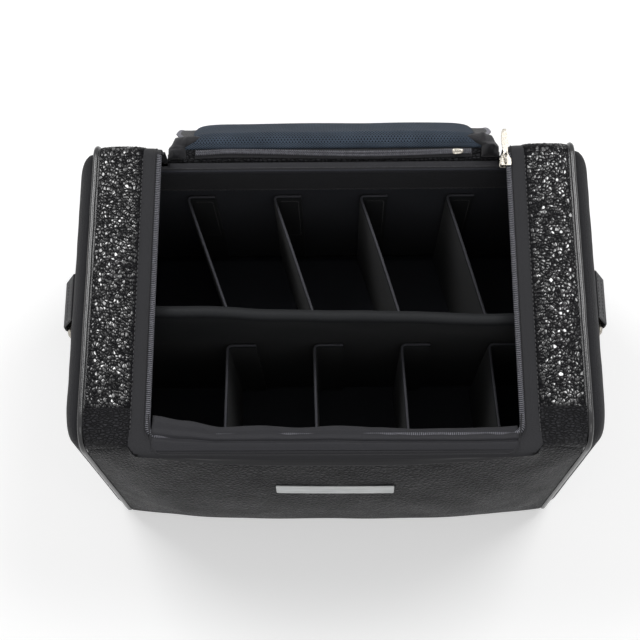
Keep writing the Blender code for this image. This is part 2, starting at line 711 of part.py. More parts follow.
def build_ring(name, side):
    """A webbing tab with its loop, and the D-ring that hangs in it."""
    bar_x, bar_z = ring_bar()
    loop = RING_HOLE + RING_LOOP_WALL
    top = TOP - RING_TAB_TOP_DROP
    stand_off = bar_x - loop - end_surface(bar_z) - GAP

    def web(u, v, out):
        z = bar_z + (top - bar_z) * v
        x = end_surface(z) + GAP + stand_off * (1 - v) + out
        return Vector((side * x, RING_TAB_WIDTH * (u - 0.5), z))

    tab = add_slab(f"ring_tab_{name}", (1, 6), lambda u, v: web(u, v, RING_TAB_THICKNESS),
                   lambda u, v: web(u, v, 0.0), BLACK_FABRIC)
    half = RING_TAB_WIDTH / 2
    outer = round_bar(f"ring_loop_{name}", side * bar_x, bar_z, loop, half, BLACK_FABRIC)
    hole = round_bar(f"ring_hole_{name}", side * bar_x, bar_z, RING_HOLE, 2 * half, BLACK_FABRIC)
    for cutter, operation in ((outer, "UNION"), (hole, "DIFFERENCE")):
        joined = tab.modifiers.new(operation.lower(), "BOOLEAN")
        joined.operation = operation
        joined.object = cutter
        joined.solver = "EXACT"
        cutter.hide_render = True
        cutter.display_type = "WIRE"

    reach = RING_WIDTH / 2
    drop = bar_z - RING_DEPTH
    spots = [(-reach, bar_z), (reach, bar_z)]
    spots += arc((reach - RING_CORNER, drop + RING_CORNER), RING_CORNER, 0, -90, RING_CORNER_STEPS)
    spots += arc((RING_CORNER - reach, drop + RING_CORNER), RING_CORNER, -90, -180, RING_CORNER_STEPS)
    ring = add_tube(f"d_ring_{name}", [(0, y, z - bar_z) for y, z in spots], RING_WIRE, NICKEL, closed=True)
    ring.location = (side * bar_x, 0, bar_z)


def round_bar(name, x, z, radius, half, look):
    """A bar along Y, used to shape a loop."""
    spots = arc((x, z), radius, 0, 360, ROUND_STEPS)[:-1]
    return add_object(name, prism_mesh(spots, along_y, -half, half), look)


def build_slider():
    """The main zip's slider, at the back end of the right-hand teeth, and the pull hinged in its bail."""
    track = COIL_INNER - LID_ZIP_GAP / 2
    middle = TAPE_BACK - SLIDER_SETBACK
    coil_top = TAPE_TOP + GAP
    coil_low = COIL_UNDER
    plate_low = coil_top + GAP
    plate_top = plate_low + SLIDER_PLATE
    axis = plate_top + GAP + PULLER_BAR
    length = SLIDER_LENGTH / 2
    profile = [
        (-SLIDER_HALF_WIDTH, plate_top), (-SLIDER_HALF_WIDTH, plate_low),
        (-SLIDER_POST / 2, plate_low), (-SLIDER_POST / 2, coil_low - GAP),
        (-SLIDER_HALF_WIDTH, coil_low - GAP), (-SLIDER_HALF_WIDTH, coil_low - GAP - SLIDER_PLATE),
        (SLIDER_HALF_WIDTH, coil_low - GAP - SLIDER_PLATE), (SLIDER_HALF_WIDTH, coil_low - GAP),
        (SLIDER_POST / 2, coil_low - GAP), (SLIDER_POST / 2, plate_low),
        (SLIDER_HALF_WIDTH, plate_low), (SLIDER_HALF_WIDTH, plate_top),
    ]
    outline = [(track + a, b) for a, b in profile]
    slider = add_object("zip_slider", prism_mesh(outline, along_y, middle - length, middle + length), NICKEL)

    foot = plate_top - SLIDER_PLATE / 2
    outer, inner = BAIL_RADIUS + BAIL_WALL / 2, BAIL_RADIUS - BAIL_WALL / 2
    arch = [(middle + outer, foot)]
    arch += arc((middle, axis), outer, 0, 180, BAIL_STEPS)
    arch += [(middle - outer, foot), (middle - inner, foot)]
    arch += arc((middle, axis), inner, 180, 0, BAIL_STEPS)
    arch.append((middle + inner, foot))
    bail_mesh = prism_mesh(arch, along_x, track - BAIL_WIDTH / 2, track + BAIL_WIDTH / 2)
    bail = add_object("slider_bail", bail_mesh, NICKEL)
    joined = slider.modifiers.new("bail", "BOOLEAN")
    joined.operation = "UNION"
    joined.object = bail
    joined.solver = "EXACT"
    bail.hide_render = True
    bail.display_type = "WIRE"

    window = BAIL_WIDTH / 2 + 2 * GAP
    half = PULLER_WIDTH / 2
    bar = PULLER_BAR * math.cos(math.radians(45))
    reach = PULLER_WINDOW
    outline_out = [(-half, -bar), (half, -bar), (half, PULLER_LENGTH), (-half, PULLER_LENGTH)]
    outline_in = [(-window, bar), (window, bar), (window, reach), (-window, reach)]
    bm = bmesh.new()
    loops = [[bm.verts.new((x, y, -bar)) for x, y in loop] for loop in (outline_out, outline_in)]
    faces = []
    for n in range(4):
        after = (n + 1) % 4
        faces.append(bm.faces.new((loops[0][n], loops[0][after], loops[1][after], loops[1][n])))
    raised = bmesh.ops.extrude_face_region(bm, geom=faces)["geom"]
    moved = [item for item in raised if isinstance(item, bmesh.types.BMVert)]
    bmesh.ops.translate(bm, verts=moved, vec=(0, 0, 2 * bar))
    puller = add_object("zip_puller", bm, NICKEL)
    puller.location = (track, middle, axis)


def main():
    for old in list(bpy.data.objects):
        bpy.data.objects.remove(old)
    build_base()
    build_front()
    build_back()
    for name, side in (("left", -1), ("right", 1)):
        build_end(name, side)
        build_strips(name, side)
        build_ring(name, side)
    build_mouth()
    build_lid()
    build_dividers()
    build_slider()


main()
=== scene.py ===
import math

import bpy
from mathutils import Matrix, Vector, noise


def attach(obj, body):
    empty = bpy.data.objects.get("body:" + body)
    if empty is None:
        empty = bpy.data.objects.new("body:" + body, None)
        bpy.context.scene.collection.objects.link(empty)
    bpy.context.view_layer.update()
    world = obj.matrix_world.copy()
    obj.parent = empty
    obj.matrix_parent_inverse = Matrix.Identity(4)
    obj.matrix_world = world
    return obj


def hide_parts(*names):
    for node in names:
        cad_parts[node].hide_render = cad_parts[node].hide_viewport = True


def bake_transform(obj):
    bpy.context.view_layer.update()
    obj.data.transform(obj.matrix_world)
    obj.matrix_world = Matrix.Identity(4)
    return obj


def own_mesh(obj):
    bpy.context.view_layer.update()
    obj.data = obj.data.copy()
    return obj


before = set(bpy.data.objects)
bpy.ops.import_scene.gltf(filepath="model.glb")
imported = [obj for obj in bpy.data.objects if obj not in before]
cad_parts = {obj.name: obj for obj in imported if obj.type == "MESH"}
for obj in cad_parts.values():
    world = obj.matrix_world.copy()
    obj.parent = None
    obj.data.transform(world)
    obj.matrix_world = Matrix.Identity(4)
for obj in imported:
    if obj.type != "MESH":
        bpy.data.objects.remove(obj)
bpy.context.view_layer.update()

print("packed model loaded")


# small tools that every piece uses

bothSides = (("left", -1), ("right", 1))
up = Vector((0, 0, 1))

def toLinear(code):
    parts = [int(code[at:at + 2], 16) / 255 for at in (1, 3, 5)]
    return [part / 12.92 if part <= .04045 else ((part + .055) / 1.055) ** 2.4 for part in parts] + [1]


def addNode(tree, kind, settings=None, links=None):
    node = tree.nodes.new(kind)
    for name, value in (settings or {}).items():
        if name == "stops":  # a colour ramp, as places and sRGB colours
            ramp = node.color_ramp
            while len(ramp.elements) < len(value):
                ramp.elements.new(.5)
            for stop, (place, code) in zip(ramp.elements, value):
                stop.position = place
                stop.color = toLinear(code)
        elif isinstance(name, int) or name in node.inputs:
            node.inputs[name].default_value = value
        else:
            setattr(node, name, value)
    for name, source in (links or {}).items():
        tree.links.new(source, node.inputs[name])
    return node


def calculate(tree, operation, *values):
    # a math node fed with numbers or other nodes' outputs
    node = addNode(tree, "ShaderNodeMath", {"operation": operation})
    for at, value in enumerate(values):
        if isinstance(value, (int, float)):
            node.inputs[at].default_value = value
        else:
            tree.links.new(value, node.inputs[at])
    return node.outputs[0]


def newMaterial(name, colour, roughness, **settings):
    material = bpy.data.materials.new(name)
    material.use_nodes = True
    tree = material.node_tree
    tree.nodes.clear()
    shader = addNode(tree, "ShaderNodeBsdfPrincipled",
                     {"Base Color": toLinear(colour), "Roughness": roughness, **settings})
    addNode(tree, "ShaderNodeOutputMaterial", links={"Surface": shader.outputs[0]})
    return material, tree, shader


def selectOnly(piece):
    bpy.ops.object.select_all(action="DESELECT")
    piece.select_set(True)
    bpy.context.view_layer.objects.active = piece


def applyModifier(piece, kind, **settings):
    selectOnly(piece)
    modifier = piece.modifiers.new(kind.title(), kind)
    for name, value in settings.items():
        setattr(modifier, name, value)
    bpy.ops.object.modifier_apply(modifier=modifier.name)


def editWhole(piece, *steps):
    # runs edit-mode operators, each on everything selected
    selectOnly(piece)
    bpy.ops.object.mode_set(mode="EDIT")
    for operator, settings in steps:
        bpy.ops.mesh.select_all(action="SELECT")
        operator(**settings)
    bpy.ops.object.mode_set(mode="OBJECT")


def turnTowards(piece, way):
    total = sum((face.normal * face.area for face in piece.data.polygons), Vector())
    if total.dot(Vector(way)) < 0:
        editWhole(piece, (bpy.ops.mesh.flip_normals, {}))


def bevelEdges(piece, width, segments=3):
    applyModifier(piece, "BEVEL", width=width, segments=segments, limit_method="ANGLE",
                  angle_limit=math.radians(50))


def blendShare(low, high, value):
    share = min(1, max(0, (value - low) / (high - low)))
    return share * share * (3 - 2 * share)


def mixed(first, second, share):
    return first + (second - first) * share


def rough(x, y, z, size):
    return noise.noise(Vector((x, y, z)) / size)  # about -1 to 1, the same on every run


def gridPiece(name, columns, rows, place, size=(1, 1), facing=None, wall=0):
    # a sheet of cells with its points put where the real surface runs, its UV in metres
    bpy.ops.object.select_all(action="DESELECT")
    bpy.ops.mesh.primitive_grid_add(x_subdivisions=columns, y_subdivisions=rows, size=1, location=(0, 0, 0))
    piece = bpy.context.object
    piece.name = piece.data.name = name
    for vertex in piece.data.vertices:
        vertex.co = place(vertex.co.x + .5, vertex.co.y + .5)
    for corner in piece.data.uv_layers.active.data:
        corner.uv = (corner.uv[0] * size[0], corner.uv[1] * size[1])
    piece.data.update()
    if facing is not None:
        turnTowards(piece, facing)
    if wall:
        applyModifier(piece, "SOLIDIFY", thickness=wall, offset=-1)
    return piece


def closeShell(piece, merge=1e-6):
    # welds the seam, caps open ends and turns the faces outwards
    editWhole(piece, (bpy.ops.mesh.remove_doubles, {"threshold": merge}), (bpy.ops.mesh.fill_holes, {"sides": 0}),
              (bpy.ops.mesh.normals_make_consistent, {"inside": False}))
    return piece


def sweepPiece(name, frames, section, loop=False):
    # carries a closed section along a path of (point, side, up)
    count = len(frames)
    columns = count if loop else count - 1
    length = sum((frames[at][0] - frames[at - 1][0]).length for at in range(1, count))
    girth = sum(math.dist(section[at], section[at - 1]) for at in range(len(section)))

    def place(u, v):
        point, side, up = frames[round(u * columns) % count]
        across, high = section[round(v * len(section)) % len(section)]
        return point + side * across + up * high
    return closeShell(gridPiece(name, columns, len(section), place, (length, girth)))


def tubeFrames(points, loop=False):
    frames = []
    side = None
    count = len(points)
    for at, point in enumerate(points):
        before = points[at - 1] if at or loop else point
        after = points[(at + 1) % count] if at < count - 1 or loop else point
        along = (after - before).normalized()
        if side is None:
            side = along.orthogonal()
        side = (side - along * side.dot(along)).normalized()
        frames.append((point, side, along.cross(side)))
    return frames


def roundSection(radius, sides, flat=1):
    turns = [2 * math.pi * at / sides for at in range(sides)]
    return [(radius * math.cos(turn), radius * flat * math.sin(turn)) for turn in turns]


def tubePiece(name, points, radius, sides, loop=False):
    return sweepPiece(name, tubeFrames(points, loop), roundSection(radius, sides), loop)


def evenly(points, step, loop=False):
    # the same line with points an even step apart
    line = points + [points[0]] if loop else points
    lengths = [0]
    for at in range(1, len(line)):
        lengths.append(lengths[-1] + (line[at] - line[at - 1]).length)
    count = max(2, round(lengths[-1] / step))
    result = []
    at = 0
    for number in range(count if loop else count + 1):
        target = lengths[-1] * number / count
        while at < len(line) - 2 and lengths[at + 1] < target:
            at += 1
        gap = lengths[at + 1] - lengths[at]
        result.append(line[at].lerp(line[at + 1], (target - lengths[at]) / gap if gap else 0))
    return result


def alongAt(line, at):
    return (line[min(at + 1, len(line) - 1)] - line[max(at - 1, 0)]).normalized()


def onPath(path, spot):
    # a point of a path, its whole number the corner and its fraction the share to the next
    at = max(0, min(len(path) - 2, int(spot)))
    return path[at].lerp(path[at + 1], spot - at)


def arc(centre, radius, start, end, steps):
    # points of an arc in a plane, angles in degrees
    turns = [math.radians(mixed(start, end, at / steps)) for at in range(steps + 1)]
    return [(centre[0] + radius * math.cos(turn), centre[1] + radius * math.sin(turn)) for turn in turns]


def copyAlong(name, sample, frames):
    # one mesh of many copies of a sample, each turned to its own (point, along, side, up)
    points = []
    faces = []
    start = [vertex.co.copy() for vertex in sample.data.vertices]
    shapes = [tuple(face.vertices) for face in sample.data.polygons]
    for point, along, side, up in frames:
        first = len(points)
        points += [point + along * spot.x + side * spot.y + up * spot.z for spot in start]
        faces += [tuple(first + corner for corner in shape) for shape in shapes]
    mesh = bpy.data.meshes.new(name)
    mesh.from_pydata(points, [], faces)
    mesh.update()
    piece = bpy.data.objects.new(name, mesh)
    bpy.context.scene.collection.objects.link(piece)
    bpy.data.objects.remove(sample)
    editWhole(piece, (bpy.ops.mesh.normals_make_consistent, {"inside": False}))
    return piece


def stitchRow(name, points, upAt, stitch):
    # short thread stitches along a line; upAt gives the surface direction at a point
    line = evenly(points, stitch["pitch"])
    bpy.ops.object.select_all(action="DESELECT")
    bpy.ops.mesh.primitive_uv_sphere_add(segments=8, ring_count=5, radius=1, location=(0, 0, 0))
    sample = bpy.context.object
    for vertex in sample.data.vertices:
        co = vertex.co
        vertex.co = (co.x * stitch["length"] / 2, co.y * stitch["radius"], co.z * stitch["radius"])
    frames = []
    for at in range(len(line) - 1):
        middle = (line[at] + line[at + 1]) / 2
        along = (line[at + 1] - line[at]).normalized()
        rise = upAt(middle)
        side = rise.cross(along).normalized()
        frames.append((middle + rise * stitch["lift"], along, side, along.cross(side)))
    piece = copyAlong(name, sample, frames)
    smoothShade(piece)
    return piece


def smoothShade(piece, angle=None):
    selectOnly(piece)
    if angle is None:
        bpy.ops.object.shade_smooth()
    else:
        bpy.ops.object.shade_smooth_by_angle(angle=math.radians(angle))


def finishPiece(piece, body, material, replaced=(), angle=None):
    smoothShade(piece, angle)
    piece.data.materials.clear()
    piece.data.materials.append(material)
    if body:
        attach(piece, body)
    if replaced:
        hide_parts(*replaced)
    return piece


# camera, light and floor

view = {"place": (.0027, -.2900, 1.0823), "pitch": 72.66, "yaw": -2.90, "roll": -3.11,
        "focalPixels": 1170, "framePixels": 640, "sensor": 36}
turn = (Matrix.Rotation(math.radians(-view["yaw"]), 4, "Z")
        @ Matrix.Rotation(math.radians(90 - view["pitch"]), 4, "X")
        @ Matrix.Rotation(math.radians(view["roll"]), 4, "Z"))
bpy.ops.object.camera_add(location=view["place"], rotation=turn.to_euler())
camera = bpy.context.object
camera.data.sensor_width = view["sensor"]
camera.data.lens = view["focalPixels"] / view["framePixels"] * view["sensor"]
camera.data.clip_start = .01
bpy.context.scene.camera = camera

studio = {"worldLight": .30, "floorColour": "#e6e6e6", "floorGlow": .42,
          "lamps": [((-.85, .80, 1.85), .75, 15), ((.85, .70, 1.85), .75, 15), ((.15, -1.25, 1.5), .7, 4)]}
for number, (place, size, power) in enumerate(studio["lamps"]):
    aim = (Vector((0, 0, .15)) - Vector(place)).to_track_quat("-Z", "Y")
    bpy.ops.object.light_add(type="AREA", location=place, rotation=aim.to_euler())
    lamp = bpy.context.object
    lamp.name = f"softbox{number}"
    lamp.data.shape = "SQUARE"
    lamp.data.size = size
    lamp.data.energy = power


def seenDirectly(tree):
    # 1 for rays from the camera, in a gloss or through glass
    rays = addNode(tree, "ShaderNodeLightPath").outputs
    first = calculate(tree, "MAXIMUM", rays["Is Camera Ray"], rays["Is Glossy Ray"])
    return calculate(tree, "MAXIMUM", first, rays["Is Transmission Ray"])


world = bpy.data.worlds.new("plain studio")
bpy.context.scene.world = world
world.use_nodes = True
tree = world.node_tree
tree.nodes.clear()
lightLevel = addNode(tree, "ShaderNodeBackground", {"Color": (1, 1, 1, 1), "Strength": studio["worldLight"]})
white = addNode(tree, "ShaderNodeBackground", {"Color": (1, 1, 1, 1), "Strength": 1})
either = addNode(tree, "ShaderNodeMixShader", {}, {0: seenDirectly(tree), 1: lightLevel.outputs[0],
                                                   2: white.outputs[0]})
addNode(tree, "ShaderNodeOutputWorld", links={"Surface": either.outputs[0]})

bpy.ops.object.select_all(action="DESELECT")
bpy.ops.mesh.primitive_plane_add(size=8, location=(0, 0, -.0004))
floor = bpy.context.object
floor.name = "studioFloor"
material = bpy.data.materials.new("matt white paper floor")
material.use_nodes = True
tree = material.node_tree
tree.nodes.clear()
paper = addNode(tree, "ShaderNodeBsdfDiffuse", {"Color": toLinear(studio["floorColour"])})
glow = addNode(tree, "ShaderNodeEmission", {"Color": (1, 1, 1, 1)})
tree.links.new(calculate(tree, "MULTIPLY", seenDirectly(tree), studio["floorGlow"]), glow.inputs["Strength"])
added = addNode(tree, "ShaderNodeAddShader", {}, {0: paper.outputs[0], 1: glow.outputs[0]})
addNode(tree, "ShaderNodeOutputMaterial", links={"Surface": added.outputs[0]})
floor.data.materials.append(material)
bpy.context.scene.view_settings.view_transform = "Standard"
print("camera, lamps and floor set")


# materials

def coordinates(tree, kind="Object"):
    return addNode(tree, "ShaderNodeTexCoord").outputs[kind]


def cloudy(tree, size, detail, output="Fac"):
    # soft noise of a real size in metres
    return addNode(tree, "ShaderNodeTexNoise", {"Scale": 1 / size, "Detail": detail},
                   {"Vector": coordinates(tree)}).outputs[output]


def ranged(tree, source, near, far, low, high):
    return addNode(tree, "ShaderNodeMapRange", {"From Min": near, "From Max": far, "To Min": low, "To Max": high},
                   {0: source}).outputs[0]


def ramped(tree, source, *stops):
    return addNode(tree, "ShaderNodeValToRGB", {"stops": stops}, {0: source}).outputs[0]


def emboss(tree, shader, source, strength, depth):
    relief = addNode(tree, "ShaderNodeBump", {"Strength": strength, "Distance": depth}, {"Height": source})
    tree.links.new(relief.outputs[0], shader.inputs["Normal"])


def makePlain(name, colour, roughness, size, detail, stops=(), relief=(), **settings):
    # one soft noise gives both the tint and the relief
    material, tree, shader = newMaterial(name, colour, roughness, **settings)
    source = cloudy(tree, size, detail)
    if stops:
        tree.links.new(ramped(tree, source, *stops), shader.inputs["Base Color"])
    if relief:
        emboss(tree, shader, source, *relief)
    return material


def weaveHeight(tree, source, pitch):
    # over and under threads of a plain weave, 0 to 1, one thread each pitch
    scaled = addNode(tree, "ShaderNodeVectorMath", {"operation": "SCALE", "Scale": 1 / pitch}, {0: source}).outputs[0]
    axes = addNode(tree, "ShaderNodeSeparateXYZ", {}, {0: scaled}).outputs
    waves = [calculate(tree, "ABSOLUTE", calculate(tree, "SINE", calculate(tree, "MULTIPLY", axes[axis], math.pi)))
             for axis in (0, 1)]
    check = addNode(tree, "ShaderNodeTexChecker", {"Scale": 1.0}, {"Vector": scaled})
    return addNode(tree, "ShaderNodeMix", {"data_type": "FLOAT"},
                   {0: check.outputs["Fac"], 2: waves[0], 3: waves[1]}).outputs[0]


def makeCloth(name, colours, pitch, roughness, bump, sheen):
    material, tree, shader = newMaterial(name, colours[0], roughness, **{
        "Sheen Weight": sheen, "Sheen Roughness": .5, "IOR": 1.5, "Specular IOR Level": .25})
    height = weaveHeight(tree, coordinates(tree, "UV"), pitch)
    threads = calculate(tree, "MULTIPLY_ADD", height, .5, cloudy(tree, 2 * pitch, 3.0))
    shade = calculate(tree, "MULTIPLY_ADD", cloudy(tree, .03, 4.0), .55, threads)
    tree.links.new(ramped(tree, shade, (.45, colours[0]), (.95, colours[1])), shader.inputs["Base Color"])
    emboss(tree, shader, threads, bump, pitch * .5)
    return material


# PVC leather, embossed with pebbles of 1.5 to 2 mm: dull charcoal, with painted shade in the grooves and painted
# highlight on the crests of the grain
leather = {"low": "#08080a", "high": "#303033", "grain": .0030, "fine": .0009, "roughness": .5,
           "stretch": (.85, 1.7, .72), "depth": .0024}
pebbledLeather, tree, shader = newMaterial("embossed PVC leather", leather["high"], leather["roughness"],
                                           **{"IOR": 1.5, "Specular IOR Level": .15})
shifted = addNode(tree, "ShaderNodeVectorMath", {"operation": "MULTIPLY_ADD", 1: (.0012, .0012, .0012)},
                  {0: cloudy(tree, .004, 2.0, "Color"), 2: coordinates(tree)})
stretch = addNode(tree, "ShaderNodeMapping", {"Scale": leather["stretch"]}, {"Vector": shifted.outputs[0]})
pebbles = addNode(tree, "ShaderNodeTexVoronoi", {"feature": "DISTANCE_TO_EDGE", "Scale": 1 / leather["grain"]},
                  {"Vector": stretch.outputs[0]})
rounded = calculate(tree, "POWER", pebbles.outputs["Distance"], .6)
grain = calculate(tree, "MULTIPLY_ADD", cloudy(tree, leather["fine"], 3.0), .25, rounded)
broad = cloudy(tree, .035, 3.0)
shade = calculate(tree, "MULTIPLY_ADD", broad, .35, grain)
# the grooves between the pebbles are painted dark and the crests light: painted shade and highlight on the grain, mixed
# with a broad random tone
tree.links.new(ramped(tree, shade, (.36, leather["low"]), (.92, leather["high"])), shader.inputs["Base Color"])
emboss(tree, shader, grain, 1.0, leather["depth"])
worn = ranged(tree, broad, .2, .8, leather["roughness"] + .1, leather["roughness"] - .06)
tree.links.new(worn, shader.inputs["Roughness"])

# crinkled patent vinyl, clear coat on the raised pebbles and none in the grooves or along the edges, so that these
# render dark as
# painted shade: small sharp highlights on black
patent = {"colour": "#060608", "low": "#040405", "high": "#0e0e12", "roughness": .35, "crinkle": .0016}
glitterPatent, tree, shader = newMaterial("crinkled patent vinyl", patent["colour"], patent["roughness"],
                                          **{"IOR": 1.5, "Specular IOR Level": .05, "Coat Roughness": .06,
                                             "Coat IOR": 2.4})
lacquer = addNode(tree, "ShaderNodeAttribute", {"attribute_name": "lacquer"})
tree.links.new(lacquer.outputs["Fac"], shader.inputs["Coat Weight"])
crinkle = cloudy(tree, patent["crinkle"], 2.0)
tree.links.new(ramped(tree, crinkle, (.3, patent["low"]), (.8, patent["high"])), shader.inputs["Base Color"])
emboss(tree, shader, crinkle, .15, .0003)

# piping cord wrapped in gloss vinyl: smooth, long thin highlights
pipingVinyl = makePlain("gloss wrapped vinyl piping", "#101012", .22, .004, 2.0,
                        ((.3, "#0c0c0e"), (.8, "#1b1b1e")), (.25, .0004),
                        **{"IOR": 1.52, "Coat Weight": .2, "Coat Roughness": .15})

# woven polyester of 0.7 mm threads, drawn at 1 mm so that it shows: matt black with a dry sheen
endFabric = makeCloth("woven polyester end cloth", ("#101012", "#222225"), .001, .85, .6, .12)
# thin nylon lining of 0.4 mm threads, drawn at 1 mm: nearly black, a little silky
liningCloth = makeCloth("woven nylon lining", ("#101217", "#1e2028"), .001, .6, .25, .1)
# the same nylon over foam on the dividers, painted darker than the lining as painted shade deep in the compartments
shadedNylon = makeCloth("woven nylon over foam painted shade", ("#06070a", "#0e1013"), .001, .62, .3, .06)
# the lighter facing cloth at the front and the back of the mouth
facingCloth = makeCloth("woven nylon facing", ("#121215", "#242428"), .001, .6, .4, .1)
# the edge tape on the cross dividers, painted paler than the faces: painted light on the top edges, where the light
# from the mouth falls
litEdgeCloth = makeCloth("nylon edge tape painted light", ("#232327", "#3a3a40"), .001, .6, .3, .2)
# the smooth folded band between the zip and the front leather: plain black cloth, pressed flat
bandCover = makeCloth("pressed polyester binding", ("#0c0c0e", "#19191c"), .001, .7, .2, .06)
# woven polyester zip tape, 0.5 mm ribs drawn at 0.9 mm: dull grey-black
zipTapeCloth = makeCloth("woven polyester zip tape", ("#121214", "#242427"), .0009, .7, .45, .12)
# bag webbing woven of polypropylene, ribs of 1.3 mm: coarse matt black
webbingCloth = makeCloth("woven polypropylene webbing", ("#141416", "#28282b"), .0014, .6, .9, .1)

# spacer mesh knitted over foam, small round openings 2 mm apart in staggered rows: soft blue-grey
mesh = {"thread": "#434d5a", "hole": "#0d1013", "across": .0026, "along": .0032}
spacerMesh, tree, shader = newMaterial("knitted spacer mesh", mesh["thread"], .9,
                                       **{"Sheen Weight": .06, "Sheen Roughness": .4, "Specular IOR Level": .08})
axes = addNode(tree, "ShaderNodeSeparateXYZ", {}, {0: coordinates(tree, "UV")}).outputs
holes = calculate(tree, "MULTIPLY", *[
    calculate(tree, "SINE", calculate(tree, "MULTIPLY", axes[axis], 2 * math.pi / mesh[way]))
    for axis, way in ((0, "across"), (1, "along"))])
varied = addNode(tree, "ShaderNodeHueSaturation", {"Saturation": 1.0}, {
    "Color": ramped(tree, holes, (.15, mesh["thread"]), (.6, mesh["hole"])),
    "Value": ranged(tree, cloudy(tree, .02, 3.0), .3, .7, .85, 1.15)})
tree.links.new(varied.outputs[0], shader.inputs["Base Color"])
emboss(tree, shader, calculate(tree, "MULTIPLY", holes, -1.0), .8, .0006)

# nylon monofilament, heat set into a coil: half gloss black-grey teeth, painted mid grey as a painted highlight along
# the ribs
highlightedCoil = makePlain("heat-set nylon coil painted highlight", "#74747b", .4, .003, 2.0, ((.3, "#67676e"), (.7, "#84848c")), IOR=1.53)

# bonded polyester thread, 0.6 mm thick: dull black with a twist that shows as fine bands
thread = makePlain("twisted polyester thread", "#1c1c1f", .55, .0006, 2.0, ((.3, "#151517"), (.7, "#29292d")),
                   (.4, .0002), **{"Sheen Weight": .3})

# die-cast zinc, nickel plated and tumbled: pale grey metal with faint soft scratches
nickelPlate, tree, shader = newMaterial("tumbled nickel plating", "#a9a49b", .3, Metallic=1.0)
scratches = cloudy(tree, .0012, 4.0)
tree.links.new(ranged(tree, scratches, .3, .7, .2, .36), shader.inputs["Roughness"])
emboss(tree, shader, scratches, .12, .0002)

# stamped aluminium, brushed along its length: fine streaks stretched across the plate
brushedPlate, tree, shader = newMaterial("brushed aluminium plate", "#b9bbbb", .42, Metallic=.85)
streak = addNode(tree, "ShaderNodeMapping", {"Scale": (60, 2500, 2500)}, {"Vector": coordinates(tree)})
lines = addNode(tree, "ShaderNodeTexNoise", {"Scale": 1.0, "Detail": 3.0}, {"Vector": streak.outputs[0]})
tree.links.new(ramped(tree, lines.outputs["Fac"], (.3, "#9a9c9c"), (.7, "#c9cbcb")), shader.inputs["Base Color"])
emboss(tree, shader, lines.outputs["Fac"], .2, .0002)

# pressed fibre board, grey-black and matt, hidden between cover and lining
fibreBoard = makePlain("pressed fibre board", "#2b2b2d", .9, .002, 5.0, ((.3, "#1e1e20"), (.7, "#39393c")),
                       (.3, .0004))
for name in ("base_board", "end_board_left", "end_board_right", "front_board", "back_board"):
    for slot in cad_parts[name].material_slots:
        slot.material = fibreBoard
print("materials made")


# the shell: base, back, front leather

bag = {"half": .1854, "front": -.122, "back": .122, "top": .240, "frontTop": .2369, "lean": .016,
       "crown": .011, "foot": .005, "bulge": .020, "flatness": 2.4, "footFlatness": 5, "fullness": .8,
       "bottomRound": .014, "clear": .0004, "skin": .0014, "ripple": .0009}
leatherRows = {"foot": .14, "wall": .72, "shoulder": .94}  # shares of the front leather's height where its form changes


def frontY(x, z):
    # the plump front: leans out at the foot, bulges most at half height
    low = 1 - z / bag["top"]
    edge = bag["front"] - bag["lean"] * low
    swell = max(0, math.sin(math.pi * min(1, max(0, z) / bag["frontTop"]))) ** bag["fullness"]
    middle = bag["front"] - bag["crown"] - bag["foot"] * low - bag["bulge"] * swell
    spread = 1 - min(1, abs(x) / bag["half"]) ** mixed(bag["footFlatness"], bag["flatness"], 1 - low)
    return mixed(edge, middle, spread)


shoulder = {"edgeY": -.1322, "edgeZ": .2378, "turnX": .1431, "turn": .008, "cornerX": .1511,
            "creaseY": -.1225, "creaseZ": .222, "start": .196, "power": 2.4}


def shoulderEdge(x):
    # the top edge of the front leather: along the zip tape, round its corner, then down the crease
    far = abs(x)
    if far <= shoulder["turnX"]:
        return mixed(shoulder["edgeY"], shoulder["edgeY"] + .0012, (far / shoulder["turnX"]) ** 2), shoulder["edgeZ"]
    if far <= shoulder["cornerX"]:
        share = (far - shoulder["turnX"]) / shoulder["turn"]
        drop = 1 - math.sqrt(max(0, 1 - share * share))
        return shoulder["edgeY"] + .0012 + drop * .0085, shoulder["edgeZ"]
    share = (far - shoulder["cornerX"]) / (bag["half"] - shoulder["cornerX"])
    return mixed(shoulder["creaseY"], -.1205, share), mixed(shoulder["edgeZ"], shoulder["creaseZ"],
                                                           blendShare(-.15, 1, share))


def frontLeatherPoint(u, v):
    x = (2 * u - 1) * bag["half"]
    edgeY, edgeZ = shoulderEdge(x)
    radius = bag["bottomRound"]
    foot, wall, top = leatherRows.values()
    if v < foot:
        angle = v / foot * math.pi / 2
        z = bag["clear"] + radius * (1 - math.cos(angle))
        y = frontY(x, z) + radius * (1 - math.sin(angle))
    elif v < wall:
        z = mixed(bag["clear"] + radius, shoulder["start"], (v - foot) / (wall - foot))
        y = frontY(x, z)
    elif v < top:
        angle = (v - wall) / (top - wall) * math.pi / 2
        z = shoulder["start"] + (edgeZ - shoulder["start"]) * math.sin(angle) ** (2 / shoulder["power"])
        inset = (edgeY - frontY(x, edgeZ)) * (1 - math.cos(angle) ** (2 / shoulder["power"]))
        y = frontY(x, z) + inset
    else:
        y = edgeY + (v - top) / (1 - top) * .006
        z = edgeZ - .0012 * blendShare(top, 1, v)
    soft = blendShare(.02, .06, z) * (1 - blendShare(.21, .235, z)) * blendShare(0, .03, bag["half"] - abs(x))
    y += bag["ripple"] * rough(x, z, 1, .055) * soft
    return Vector((x, y, z))


frontLeather = gridPiece("front_leather", 180, 150, frontLeatherPoint, (.371, .27), (0, -1, 0), bag["skin"])
finishPiece(frontLeather, "case", pebbledLeather, ("front_panel",))


rear = {"foot": .12, "top": .2078, "bulge": .0014, "ripple": .0005}


